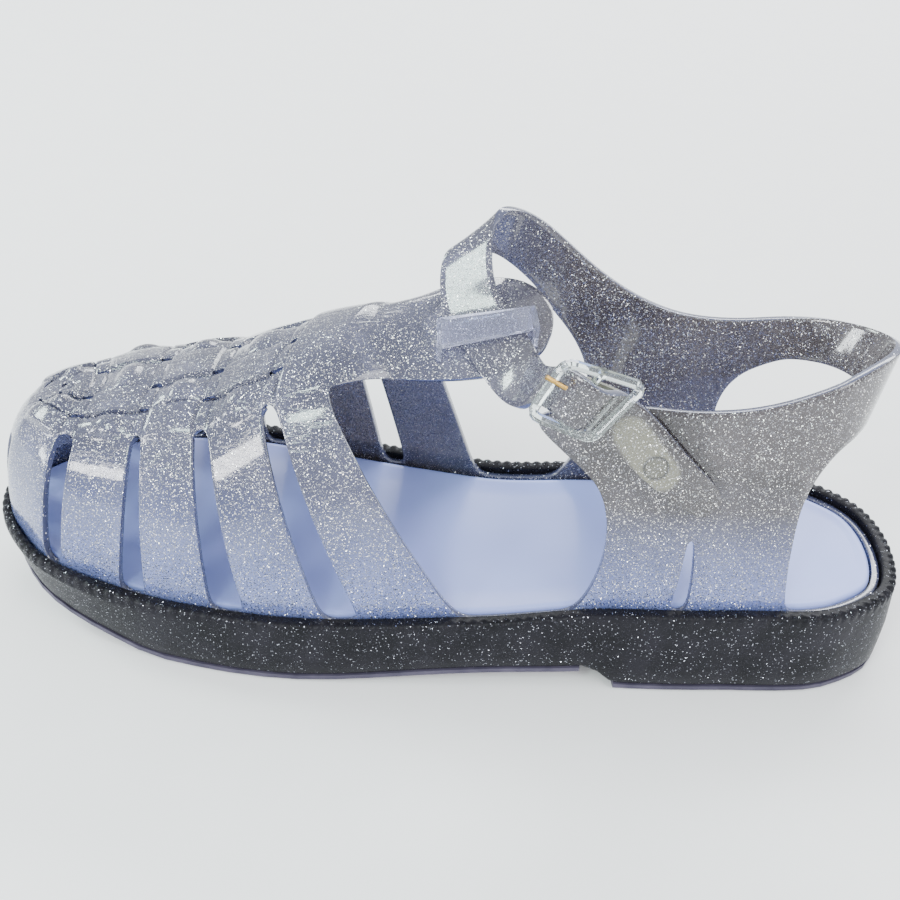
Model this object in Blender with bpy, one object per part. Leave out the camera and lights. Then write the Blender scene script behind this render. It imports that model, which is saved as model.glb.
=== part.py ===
"""Jelly sandal, left shoe, adult.

The toe points to -X, the heel to +X and the lateral side with the buckle to -Y. The ground is z = 0.
Tables and sizes are in millimetres, and the meshes are made in metres.
"""
import math

import bmesh
import bpy
import numpy as np

MM = 0.001

# Driving sizes of the sole
OUTSOLE_THICK = 2.0
TOUCH_GAP = 0.3
LEDGE_WIDTH = 4.0
LEDGE_WIDTH_TOE = 1.9
RECESS_DEPTH = 5.4
EDGE_ROUND = 1.2
INSOLE_DROP = 1.9
BREAST_FRONT_X = 34.0
BREAST_REAR_X = 44.5
BREAST_SPAN = (31.0, 48.5)
TOE_LEAN = 3.0
HEEL_FLARE = 1.3

# Driving sizes of the upper
WALL = 2.0
MARGIN_GAP = 0.4
MARGIN_TOP_DROP = 2.4
MARGIN_TALL = 2.6
MARGIN_STEP = 6.5
TOE_FULLNESS = 3.0
BODY_FULLNESS = 2.3
SLOT_TOP = 0.66
TOE_SLOT_TOP = 0.42
TOE_PIECE_HALF = 5.0
FIRST_WOVEN_STRAP = 3
RAISED_STRIP = 0.9
SUNK_STRIP = 0.15

# Outline of the sole's rim: x, y from the back of the heel round the medial side to the toe and back
OUTLINE = (
    (126.6, -8.9), (122.5, 11.0), (108.0, 23.5), (79.3, 29.5), (45.0, 27.2), (15.0, 28.8),
    (-12.0, 35.2), (-45.0, 43.3), (-70.7, 45.8), (-98.7, 39.9), (-116.0, 26.0), (-127.6, 8.0),
    (-128.0, -9.5), (-118.5, -25.2), (-90.0, -39.0), (-57.0, -44.7), (-10.0, -44.8),
    (30.0, -43.0), (72.0, -41.6), (108.4, -36.5), (121.5, -27.0),
)

# Height of the rim: x, z
RIM_HEIGHT = ((-129, 27.6), (-88, 21.9), (-48, 21.1), (7, 24.3), (42, 28.3), (127, 29.4))

# Height of the ground side, with toe spring, arch and heel breast: x, z
GROUND_HEIGHT = (
    (-129, 14.0), (-114, 7.8), (-98, 3.4), (-80, 0.0), (-48, 0.0), (-38, 0.4), (7, 5.0), (29.5, 5.8),
    (34.5, 6.2), (39.3, 4.1), (43.2, 0.7), (45.5, 0.0), (120, 0.0), (127, 0.8),
)

# Ridge of the vamp, where the foot is highest: x, y, z
RIDGE = (
    (-106, 0.5, 60.5), (-99, 1.5, 62.5), (-84, 3.0, 66.5), (-68, 4.0, 71.2), (-52, 4.5, 79.0),
    (-42, 5.0, 84.6), (-30, 5.0, 88.6),
)

# Edges of the side straps: name, x of the lateral foot and of the lateral slot top, and the same on
# the medial side
STRAP_EDGES = (
    ("strap 1 front", -124.8, -105.0, -124.0, -105.0),
    ("strap 1 rear", -113.0, -102.5, -111.0, -101.0),
    ("strap 2 front", -108.0, -99.5, -104.5, -97.5),
    ("strap 2 rear", -92.0, -88.0, -86.5, -83.5),
    ("strap 3 front", -84.5, -85.5, -79.0, -78.5),
    ("strap 3 rear", -67.0, -73.5, -60.0, -64.0),
    ("strap 4 front", -57.4, -70.0, -51.5, -59.0),
    ("strap 4 rear", -37.0, -58.5, -22.5, -37.7),
    ("strap 5 front", -26.4, -55.0, -15.1, -33.5),
    ("strap 5 rear", -0.9, -45.0, 6.0, -18.7),
)

# Tongue cross-sections: x, lateral edge y and z, middle y and z, medial edge y and z
TONGUE = (
    (-48, -14.0, 74.0, 4.5, 82.5, 22.0, 80.5),
    (-34, -13.5, 78.5, 4.5, 88.0, 20.5, 86.5),
    (-25, -13.0, 79.2, 4.5, 89.6, 20.0, 89.0),
    (-12, -13.0, 80.0, 4.0, 90.4, 19.5, 92.0),
    (0, -13.0, 81.8, 3.5, 90.9, 18.5, 93.4),
    (12, -12.5, 86.0, 3.0, 91.8, 17.0, 94.3),
    (20, -12.0, 88.5, 3.0, 92.0, 15.0, 94.0),
)
TONGUE_END_X = 18.8
TONGUE_END_ROUND = 11.0
TONGUE_COLUMNS = 9

# Ankle strap from the medial quarter over the tongue to its free tip: front edge x, y, z and
# back edge x, y, z of its outer face
ANKLE_STRAP = (
    (15.6, 25.0, 89.1, 25.1, 25.5, 100.7),
    (10.2, 24.0, 94.2, 18.0, 25.0, 106.5),
    (6.1, 22.3, 97.7, 11.6, 23.5, 110.8),
    (1.9, 19.8, 101.0, 6.6, 21.0, 113.2),
    (-3.3, 16.4, 103.6, 3.2, 18.0, 114.2),
    (-7.7, 12.8, 105.4, 1.6, 14.6, 114.0),
    (-10.7, 9.2, 104.6, 0.9, 10.6, 111.6),
    (-11.7, 5.8, 101.0, 0.9, 7.0, 107.0),
    (-11.4, 2.5, 96.8, 1.6, 3.5, 102.8),
    (-10.2, -1.0, 92.6, 3.8, -0.5, 98.0),
    (-7.8, -4.8, 89.8, 7.4, -4.2, 95.2),
    (-4.3, -9.6, 87.4, 10.4, -8.2, 93.4),
    (-0.5, -15.4, 84.6, 12.6, -14.0, 92.2),
    (4.4, -22.8, 82.4, 13.6, -21.6, 93.4),
    (8.2, -28.8, 83.8, 14.4, -28.4, 96.2),
    (11.3, -31.8, 87.6, 15.8, -31.8, 98.4),
    (12.8, -32.3, 87.8, 17.3, -32.3, 98.6),
    (16.9, -36.4, 87.4, 22.5, -36.4, 98.1),
    (20.3, -37.8, 85.4, 26.2, -37.8, 96.1),
    (23.7, -36.8, 83.6, 29.6, -36.8, 94.3),
    (27.2, -33.0, 81.4, 33.3, -33.0, 92.3),
    (28.8, -32.6, 80.2, 34.9, -32.6, 91.2),
)

# Free tip of the ankle strap on the near quarter: front edge x and z, back edge x and z, and how far
# its outer face stands off the quarter
STRAP_TIP = (
    (33.4, 76.6, 40.4, 87.4, 4.2),
    (40.6, 70.6, 48.0, 80.4, 4.9),
    (48.6, 64.8, 56.0, 72.6, 4.6),
    (55.4, 60.0, 61.6, 67.0, 3.0),
    (59.4, 58.4, 63.6, 62.6, 2.7),
)

# Where the ankle strap's back edge leaves the top line of the medial quarter: x, z
STRAP_ROOT = (32.9, 94.6)

# Near quarter's front edge: x, z from the foot to the tab's corner, and its rear edge
LATERAL_FRONT = (
    (30.5, 25.8), (34.5, 34.0), (36.0, 42.0), (35.6, 53.0), (31.5, 64.0), (22.0, 70.0), (11.5, 76.0),
)
LATERAL_REAR = (
    (88.5, 27.0), (86.8, 38.0), (86.0, 50.0), (86.0, 61.0), (88.5, 70.0), (90.0, 80.0), (90.0, 92.6),
)

# The far quarter's front and rear edges
MEDIAL_FRONT = (
    (30.5, 25.8), (35.0, 34.0), (37.0, 43.0), (36.0, 54.0), (33.3, 65.8), (28.5, 74.0), (20.7, 82.6),
)
MEDIAL_REAR = (
    (77.0, 28.7), (75.2, 38.0), (74.2, 48.0), (74.4, 58.0), (78.0, 67.5), (81.0, 77.0), (82.5, 84.8),
)

# Top line of the two quarters: x, y, z
LATERAL_TOP = (
    (11.5, -28.0, 81.0), (24.0, -28.3, 84.5), (38.7, -28.5, 86.4), (54.0, -28.3, 85.0),
    (71.7, -27.3, 87.0), (90.0, -23.6, 93.4),
)
MEDIAL_TOP = (
    (32.9, 25.5, 94.6), (45.6, 26.0, 86.7), (57.8, 26.0, 82.8), (74.6, 24.0, 83.4), (82.5, 22.6, 85.4),
)

# Heel band from the lateral to the medial quarter: low edge x, y, z and top edge x, y, z
HEEL_BAND = (
    (92.4, -26.3, 74.6, 96.0, -20.2, 95.2),
    (97.2, -22.8, 77.2, 102.0, -15.8, 96.2),
    (101.4, -17.8, 78.6, 106.8, -10.8, 96.0),
    (104.6, -11.3, 79.4, 109.8, -5.0, 95.0),
    (105.8, -4.4, 79.6, 110.2, 1.5, 93.4),
    (104.4, 2.7, 79.4, 107.2, 8.2, 91.8),
    (100.6, 9.2, 78.6, 101.8, 14.0, 90.2),
    (95.0, 14.8, 77.0, 95.2, 18.4, 88.6),
    (88.2, 19.5, 74.4, 88.8, 21.0, 87.0),
)

# Keeper over the ankle strap: y, left x and z, right x and z of its outer face
KEEPER = ((-3.8, -12.0, 93.0, 12.8, 98.7), (-9.6, -11.6, 88.6, 14.0, 95.9))
KEEPER_WALL = 1.5

# Buckle: outer corners of its frame, the depth of its centre bar, and the section of its bars
BUCKLE_CORNERS = ((16.8, -34.3, 102.8), (38.4, -35.2, 97.2), (27.4, -35.2, 78.8), (9.5, -34.3, 85.4))
CENTRE_BAR_Y = -33.1
CENTRE_BAR_RADIUS = 1.0
BAR_HALF_WIDTH = 1.1
BAR_HALF_DEPTH = 1.5
CORNER_RADIUS = 2.8
PRONG = ((18.3, -36.6, 95.6), (13.1, -36.9, 98.6))
PRONG_RADIUS = 0.6

# Tab that holds the buckle: x, z and half width of its part on the near quarter
TAB_WALL = 1.0
TAB_HALF_WIDTH = 4.6
TAB_ON_QUARTER = (
    (36.0, 81.6, 4.4), (40.0, 77.4, 4.8), (43.0, 74.2, 5.6), (45.6, 71.5, 5.3), (47.6, 69.4, 4.0), (48.8, 68.2, 1.6),
)
RIVET_CENTRE = (44.2, 72.9)
RIVET_RADIUS = 3.0
RIVET_TALL = 0.6


def chord_spline(points, per_span, closed=False):
    """A smooth curve through the points, with per_span samples on each span."""
    pts = np.asarray(points, dtype=float)
    count = len(pts)
    nxt = np.roll(pts, -1, axis=0)
    span = np.linalg.norm(nxt - pts, axis=1)
    slope = (nxt - pts) / span[:, None]
    span_in = np.roll(span, 1)
    slope_in = np.roll(slope, 1, axis=0)
    tangent = (slope * span_in[:, None] + slope_in * span[:, None]) / (span + span_in)[:, None]
    if not closed:
        tangent[0] = slope[0]
        tangent[-1] = slope[-2]
    spans = count if closed else count - 1
    curve = []
    for i in range(spans):
        j = (i + 1) % count
        for t in np.arange(per_span) / per_span:
            curve.append(hermite(pts[i], tangent[i] * span[i], pts[j], tangent[j] * span[i], t))
    if not closed:
        curve.append(pts[-1])
    return np.array(curve)


def hermite(start, start_slope, end, end_slope, t):
    square = t * t
    cube = square * t
    return (
        (2 * cube - 3 * square + 1) * start
        + (cube - 2 * square + t) * start_slope
        + (3 * square - 2 * cube) * end
        + (cube - square) * end_slope
    )


def look_up(table, x):
    """Read the columns of a table at x, smoothly and without overshoot between its rows."""
    rows = np.asarray(table, dtype=float)
    xs = rows[:, 0]
    step = np.diff(xs)
    slope = np.diff(rows[:, 1:], axis=0) / step[:, None]
    tangent = np.zeros_like(rows[:, 1:])
    product = slope[:-1] * slope[1:]
    total = slope[:-1] + slope[1:]
    safe = np.where(product > 0, total, 1.0)
    tangent[1:-1] = np.where(product > 0, 2 * slope[:-1] * slope[1:] / safe, 0.0)
    tangent[0] = slope[0]
    tangent[-1] = slope[-1]
    x = min(max(x, xs[0]), xs[-1])
    i = min(max(int(np.searchsorted(xs, x, side="right")) - 1, 0), len(step) - 1)
    t = (x - xs[i]) / step[i]
    value = hermite(rows[i, 1:], tangent[i] * step[i], rows[i + 1, 1:], tangent[i + 1] * step[i], t)
    return value if len(value) > 1 else float(value[0])


def rim_height(x):
    return look_up(RIM_HEIGHT, x)


def ground_height(x):
    return look_up(GROUND_HEIGHT, x)


def ledge_width(x):
    """Width of the rim's top between the outline and the recess, narrower at the toe."""
    toe_share = min(max((-95.0 - x) / 32.0, 0.0), 1.0)
    return LEDGE_WIDTH + (LEDGE_WIDTH_TOE - LEDGE_WIDTH) * toe_share


class Outline:
    """The sole's plan: the rim's outline, and any line a given distance inside it."""

    def __init__(self):
        self.curve = chord_spline(OUTLINE, 60, closed=True)
        self.centre = (self.curve.min(axis=0) + self.curve.max(axis=0)) / 2
        tangent = np.roll(self.curve, -1, axis=0) - np.roll(self.curve, 1, axis=0)
        tangent /= np.linalg.norm(tangent, axis=1)[:, None]
        self.normal = np.stack([tangent[:, 1], -tangent[:, 0]], axis=1)
        self.heel = int(self.curve[:, 0].argmax())
        self.toe = int(self.curve[:, 0].argmin())

    def stations(self, xs):
        """Indices of the samples at each x: medial side from heel to toe, then lateral side back."""
        count = len(self.curve)
        medial = np.arange(self.heel, self.heel + (self.toe - self.heel) % count + 1) % count
        lateral = np.arange(self.toe, self.toe + (self.heel - self.toe) % count + 1) % count
        out = []
        for side in (medial, lateral[::-1]):
            side_x = self.curve[side, 0]
            out.append([int(side[np.abs(side_x - x).argmin()]) for x in xs])
        return out

    def inside(self, index, distance):
        return self.curve[index] - self.normal[index] * distance


PLAN = Outline()


class MarginLine:
    """The line where the upper stands: measured by arc from the toe tip, first along the lateral side."""

    def __init__(self):
        inset = np.array([ledge_width(x) + MARGIN_GAP for x in PLAN.curve[:, 0]])
        line = PLAN.curve - PLAN.normal * inset[:, None]
        line = np.roll(line, -int(line[:, 0].argmin()), axis=0)
        line = np.vstack([line, line[:1]])
        self.line = line
        self.arc = np.concatenate([[0.0], np.cumsum(np.linalg.norm(np.diff(line, axis=0), axis=1))])
        self.length = self.arc[-1]
        self.heel = int(line[:, 0].argmax())

    def at(self, arc):
        arc = arc % self.length
        return np.array([np.interp(arc, self.arc, self.line[:, axis]) for axis in (0, 1)])

    def lateral_arc(self, x):
        return float(np.interp(x, self.line[: self.heel, 0], self.arc[: self.heel]))

    def medial_arc(self, x):
        side = self.line[self.heel:][::-1]
        return float(np.interp(x, side[:, 0], self.arc[self.heel:][::-1]))


MARGIN = MarginLine()


def margin_point(arc, drop=MARGIN_TOP_DROP):
    x, y = MARGIN.at(arc)
    return np.array([x, y, rim_height(x) - drop])


def mesh_object(name, points, faces, colour, roughness, metallic=0.0, smooth_angle=40.0, closed=True):
    """Make one object from points in millimetres, moved so that the sole's middle is the origin."""
    mesh = bpy.data.meshes.new(name)
    data = bmesh.new()
    mid_x, mid_y = PLAN.centre
    verts = [data.verts.new(((p[0] - mid_x) * MM, (p[1] - mid_y) * MM, p[2] * MM)) for p in points]
    for face in faces:
        corners = []
        for i in face:
            if i not in corners:
                corners.append(i)
        if len(corners) > 2:
            data.faces.new([verts[i] for i in corners])
    bmesh.ops.remove_doubles(data, verts=data.verts, dist=0.00001)
    bmesh.ops.delete(data, geom=[v for v in data.verts if not v.link_faces], context="VERTS")
    if closed:
        bmesh.ops.recalc_face_normals(data, faces=data.faces)
    data.to_mesh(mesh)
    data.free()
    mesh.shade_smooth()
    mesh.set_sharp_from_angle(angle=math.radians(smooth_angle))
    obj = bpy.data.objects.new(name, mesh)
    bpy.context.scene.collection.objects.link(obj)
    obj.data.materials.append(finish(name, colour, roughness, metallic))
    return obj


def finish(name, colour, roughness, metallic):
    material = bpy.data.materials.new(name)
    material.use_nodes = True
    shader = material.node_tree.nodes["Principled BSDF"]
    shader.inputs["Base Color"].default_value = (*colour, 1.0)
    shader.inputs["Roughness"].default_value = roughness
    shader.inputs["Metallic"].default_value = metallic
    return material


def plan_slab(xs, rings, across, low_open=False, high_open=False):
    """Points and faces of a slab of the sole's plan.

    rings are (inset, height) functions of x for the side from low to top. The low and top caps
    are strips between the two sides, so their heights may change along the foot. An open end is
    closed with a straight wall instead of running to the tip of the outline.
    """
    medial, lateral = PLAN.stations(xs)
    stations = len(medial)
    loop = medial + lateral[::-1]
    if not low_open:
        loop = loop[: stations] + loop[stations + 1:]
    if not high_open:
        loop = loop[:-1]
    points = []
    faces = []
    count = len(loop)
    starts = []
    for inset, height in rings:
        starts.append(len(points))
        for index in loop:
            px, py = PLAN.inside(index, inset(PLAN.curve[index, 0]))
            points.append((px, py, height(px)))
    walls = []
    if high_open:
        walls.append(count - 1)
    if low_open:
        walls.append(stations - 1)
    for low, high in zip(starts, starts[1:]):
        for i in range(count):
            if i not in walls:
                j = (i + 1) % count
                faces.append((low + i, low + j, high + j, high + i))
    partner = [count - 1 - k if high_open else (count - k) % count for k in range(stations)]
    if not low_open:
        partner[-1] = stations - 1
    caps = []
    for start, height in ((starts[0], rings[0][1]), (starts[-1], rings[-1][1])):
        rows = []
        for k in range(stations):
            left = start + k
            right = start + partner[k]
            a = np.array(points[left])
            b = np.array(points[right])
            row = [left]
            for step in range(1, across):
                if left == right:
                    row.append(left)
                    continue
                p = a + (b - a) * step / across
                points.append((p[0], p[1], height(p[0])))
                row.append(len(points) - 1)
            rows.append(row + [right])
        caps.append(rows)
        for row, nxt in zip(rows, rows[1:]):
            for i in range(across):
                faces.append((row[i], row[i + 1], nxt[i + 1], nxt[i]))
    for is_open, k in ((high_open, 0), (low_open, stations - 1)):
        if is_open:
            left = [start + k for start in starts[1:-1]]
            right = [start + partner[k] for start in starts[1:-1]]
            faces.append((*caps[0][k], *right, *caps[1][k][::-1], *left[::-1]))
    return points, faces


def foot_stations(count, low_end=None, high_end=None):
    """Values of x along the foot, closer together towards the tips, with rows at the heel breast."""
    low, high = PLAN.curve[:, 0].min(), PLAN.curve[:, 0].max()
    angles = np.linspace(0, math.pi, count)
    xs = list((low + high) / 2 + (high - low) / 2 * np.cos(angles))
    breast = [row[0] for row in GROUND_HEIGHT if BREAST_SPAN[0] < row[0] < BREAST_SPAN[1]]
    xs = [x for x in xs if not BREAST_SPAN[0] < x < BREAST_SPAN[1]] + breast
    if low_end is not None:
        xs = [x for x in xs if x > low_end + 1.0] + [low_end]
    if high_end is not None:
        xs = [x for x in xs if x < high_end - 1.0] + [high_end]
    return sorted(xs, reverse=True)


def body_bottom(x):
    return ground_height(x) + OUTSOLE_THICK + TOUCH_GAP


def low_inset(x):
    """How far the side leans in at the ground: the toe leans in, and the back of the heel flares out."""
    toe_share = min(max((-60.0 - x) / 50.0, 0.0), 1.0)
    heel_share = min(max((x - 95.0) / 28.0, 0.0), 1.0)
    return TOE_LEAN * toe_share - HEEL_FLARE * heel_share


def recess_floor(x):
    return rim_height(x) - RECESS_DEPTH


def make_sole():
    rings = [
        (lambda x: EDGE_ROUND + low_inset(x), body_bottom),
        (lambda x: 0.2 + low_inset(x), lambda x: body_bottom(x) + EDGE_ROUND),
        (lambda x: 0.55 * low_inset(x) - 0.3, lambda x: (body_bottom(x) + rim_height(x)) / 2),
        (lambda x: 0.0, lambda x: rim_height(x) - 3.4),
        (lambda x: 0.0, lambda x: rim_height(x) - 1.2),
        (lambda x: 0.9, rim_height),
        (ledge_width, lambda x: rim_height(x) - 0.1),
        (ledge_width, recess_floor),
    ]
    points, faces = plan_slab(foot_stations(39), rings, across=4)
    return mesh_object("sole", points, faces, (0.055, 0.05, 0.065), 0.45)


def make_outsole(name, low_end, high_end):
    """The ground layer, from x = low_end to high_end, or to the tip where that is None."""
    rings = [
        (lambda x: EDGE_ROUND + 0.5 + low_inset(x), ground_height),
        (lambda x: 0.3 + low_inset(x), lambda x: ground_height(x) + 0.6),
        (lambda x: 0.3 + low_inset(x), lambda x: ground_height(x) + OUTSOLE_THICK),
    ]
    xs = foot_stations(39, low_end, high_end)
    points, faces = plan_slab(xs, rings, 3, low_open=low_end is not None, high_open=high_end is not None)
    return mesh_object(name, points, faces, (0.36, 0.34, 0.42), 0.4)


def make_insole():
    def inset(x):
        return ledge_width(x) + MARGIN_GAP + WALL + 0.9

    def top(x):
        return rim_height(x) - INSOLE_DROP

    rings = [
        (inset, lambda x: recess_floor(x) + TOUCH_GAP),
        (inset, lambda x: top(x) - 0.9),
        (lambda x: inset(x) + 0.9, top),
    ]
    points, faces = plan_slab(foot_stations(35), rings, across=4)
    return mesh_object("insole", points, faces, (0.52, 0.6, 0.86), 0.25)


class Net:
    """The outer face of the upper as one net of quads. Pieces that join share their edge points."""

    def __init__(self):
        self.points = []
        self.faces = []

    def add_grid(self, grid, keep=None):
        """Add a grid of points, without the cells that keep(row, column) leaves out."""
        rows = len(grid)
        columns = len(grid[0])
        start = len(self.points)
        for row in grid:
            self.points.extend(row)
        for i in range(rows - 1):
            for j in range(columns - 1):
                if keep is None or keep(i, j):
                    a = start + i * columns + j
                    self.faces.append((a, a + 1, a + columns + 1, a + columns))


# Lines across the vamp from the lateral foot to the ridge, as shares of the way up, with the strand
# each cell after a line belongs to: 0 is a side strap, -1 a gap between two strands
VAMP_LINES = (
    (0.0, 0), (0.08, 0), (0.19, 0), (0.31, 0), (TOE_SLOT_TOP, 0), (0.54, 0),
    (SLOT_TOP, 1), (0.685, 1), (0.75, 1), (0.775, -1), (0.80, 2), (0.825, 2), (0.89, 2),
    (0.915, -1), (0.94, 3), (0.96, 3), (1.0, 3),
)


def vamp_lines():
    """The shares from the lateral foot (0) over the ridge (1) to the medial foot (2), and the strands."""
    shares = [share for share, _ in VAMP_LINES]
    strands = [strand for _, strand in VAMP_LINES[:-1]]
    shares = shares + [2 - share for share in reversed(shares[:-1])]
    mirrored = [strand if strand <= 0 else 6 - strand for strand in reversed(strands)]
    return shares, strands + mirrored


def vamp_columns():
    """Lines along the vamp from the toe tip to the rear strap.

    Each is (lateral arc, lateral top x, medial arc, medial top x, strap that the cells after it
    belong to, where 0 is a slot).
    """
    half = TOE_PIECE_HALF
    columns = [
        (0.0, -106.0, 0.0, -106.0, 1),
        (half * 0.5, -105.9, half * 0.5, -105.9, 1),
        (half, -105.7, half, -105.7, 0),
    ]
    edges = []
    for _, foot, top, medial_foot, medial_top in STRAP_EDGES:
        edges.append((MARGIN.lateral_arc(foot), top, MARGIN.length - MARGIN.medial_arc(medial_foot), medial_top))
    for strap in range(5):
        front = np.array(edges[2 * strap])
        rear = np.array(edges[2 * strap + 1])
        cuts = (0.0, 0.13, 0.5, 0.87) if strap == 4 else (0.0, 0.15, 0.85)
        for cut in cuts:
            columns.append((*(front + (rear - front) * cut), strap + 2))
        columns.append((*rear, 0))
    return columns


def vamp_point(column, share):
    """A point of the vamp's outer face, on a superellipse from the foot of a column to the ridge."""
    lateral_arc, lateral_top, medial_arc, medial_top, _ = column
    medial_side = share > 1.0
    climb = 2.0 - share if medial_side else share
    foot = margin_point(MARGIN.length - medial_arc if medial_side else lateral_arc)
    lean_x = medial_top if medial_side else lateral_top
    ridge_x = (lateral_top + medial_top) / 2
    ridge_y, ridge_z = look_up(RIDGE, ridge_x)
    toe_share = min(max((-70.0 - foot[0]) / 50.0, 0.0), 1.0)
    fullness = BODY_FULLNESS + (TOE_FULLNESS - BODY_FULLNESS) * toe_share
    angle = climb * math.pi / 2
    inwards = 1.0 - max(math.cos(angle), 0.0) ** (2 / fullness)
    upwards = math.sin(angle) ** (2 / fullness)
    past_slot = min(max((climb - SLOT_TOP) / (1 - SLOT_TOP), 0.0), 1.0)
    aim_x = lean_x + (ridge_x - lean_x) * past_slot
    lean_share = min(max((foot[0] + 118.0) / 25.0, 0.0), 1.0)
    along = inwards + (upwards - inwards) * lean_share
    x = foot[0] + (aim_x - foot[0]) * along
    y = foot[1] + (ridge_y - foot[1]) * inwards
    z = foot[2] + (ridge_z - foot[2]) * upwards
    return np.array([x, y, z])


def add_vamp(net):
    """The toe piece, the five side straps and the woven strip between their tops."""
    shares, strands = vamp_lines()
    columns = vamp_columns()
    grid = [[vamp_point(column, share) for share in shares] for column in columns]
    surface = np.array(grid)
    normal = grid_normals(surface)
    weave = [j for j, strand in enumerate(strands) if strand != 0]
    first, last = weave[0], weave[-1] + 1
    for i in range(1, len(columns) - 1):
        for j in range(first + 1, last):
            strap = columns[i][4]
            strap_in = columns[i - 1][4]
            same_strap = strap == strap_in and strap > 0
            same_strand = strands[j] == strands[j - 1] and strands[j] > 0
            if not same_strand:
                continue
            if strap < FIRST_WOVEN_STRAP:
                continue
            if same_strap:
                over = (strap + strands[j]) % 2 == 0
                rise = RAISED_STRIP if over else RAISED_STRIP * 0.5
            else:
                rise = SUNK_STRIP
            surface[i, j] += normal[i, j] * rise

    def keep(i, j):
        if columns[i][4] > 0:
            return True
        if strands[j] == 0:
            climb = min(shares[j], 2 - shares[j + 1])
            return i == 2 and climb >= TOE_SLOT_TOP - 0.001
        return strands[j] > 0

    net.add_grid(surface, keep)
    return surface, first, last


def grid_normals(surface):
    """Unit normals of a grid of points, pointing away from the foot."""
    along = np.gradient(surface, axis=0)
    across = np.gradient(surface, axis=1)
    normal = np.cross(across, along)
    length = np.linalg.norm(normal, axis=2, keepdims=True)
    normal = normal / np.maximum(length, 1e-9)
    middle = np.array([-40.0, 0.0, 30.0])
    outwards = np.sum(normal * (surface - middle), axis=2, keepdims=True)
    return np.where(outwards < 0, -normal, normal)


def tongue_point(x, side):
    """A point of the tongue's outer face: side is -1 at its lateral and 1 at its medial edge."""
    low_y, low_z, mid_y, mid_z, far_y, far_z = look_up(TONGUE, x)
    y = mid_y + side * (mid_y - low_y if side < 0 else far_y - mid_y)
    crown = (low_z + far_z) / 2 - mid_z
    tilt = (far_z - low_z) / 2
    return np.array([x, y, mid_z + tilt * side + crown * side * side])


def add_tongue(net, vamp, first, last):
    """The tongue carries the woven strip on, up the instep, to its rounded end."""
    start = vamp[-1, first:last + 1]
    mid = start[(last - first) // 2]
    sides = []
    for p in start:
        low_y, _, mid_y, _, far_y, _ = look_up(TONGUE, p[0])
        span = (mid[1] - start[0][1]) if p[1] < mid[1] else (start[-1][1] - mid[1])
        sides.append((p[1] - mid[1]) / span)
    grid = [[p for p in start]]
    for k in range(1, TONGUE_COLUMNS + 1):
        share = k / TONGUE_COLUMNS
        row = []
        for p, side in zip(start, sides):
            round_off = TONGUE_END_ROUND * (1 - math.sqrt(max(1 - side * side, 0.0)))
            end_x = TONGUE_END_X - round_off
            x = p[0] + (end_x - p[0]) * share
            target = tongue_point(x, side)
            join = min(share * 2.5, 1.0)
            join = join * join * (3 - 2 * join)
            blended = p + (target - p) * join
            blended[0] = x
            if join < 1.0:
                drift = start_drift(start, vamp, first, sides, side, x - p[0], p)
                blended[1:] = drift[1:] * (1 - join) + target[1:] * join
            row.append(blended)
        grid.append(row)
    net.add_grid(grid)
    return np.array(grid)


def start_drift(start, vamp, first, sides, side, run, p):
    """Where the woven strip would go on to, past its last line, at the slope that it ends with."""
    index = int(np.argmin(np.abs(np.array(sides) - side)))
    before = vamp[-2, first + index]
    delta = p - before
    slope = delta / max(abs(delta[0]), 1e-6)
    return p + slope * min(run, 12.0)


def edge_curve(points, shares):
    """Points at the given shares of the arc of a smooth curve through the points."""
    curve = chord_spline(points, 24)
    arc = np.concatenate([[0.0], np.cumsum(np.linalg.norm(np.diff(curve, axis=0), axis=1))])
    arc /= arc[-1]
    return [np.array([np.interp(s, arc, curve[:, a]) for a in range(curve.shape[1])]) for s in shares]


LEG_ROWS = 9
BAND_ROWS = 3
QUARTER_BULGE = 0.7

# Lines up each quarter, as shares of its width at the foot and above the slit
LATERAL_SHARES = (
    (0.0, 0.0), (0.15, 0.14), (0.3, 0.28), (0.435, 0.42), (0.53, 0.465), (0.69, 0.65), (0.85, 0.83), (1.0, 1.0),
)
MEDIAL_SHARES = ((0.0, 0.0), (0.17, 0.18), (0.34, 0.38), (0.5, 0.54), (0.67, 0.7), (0.84, 0.86), (1.0, 1.0))
SLIT_ROWS = 3
SLIT_COLUMN = 3


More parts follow.
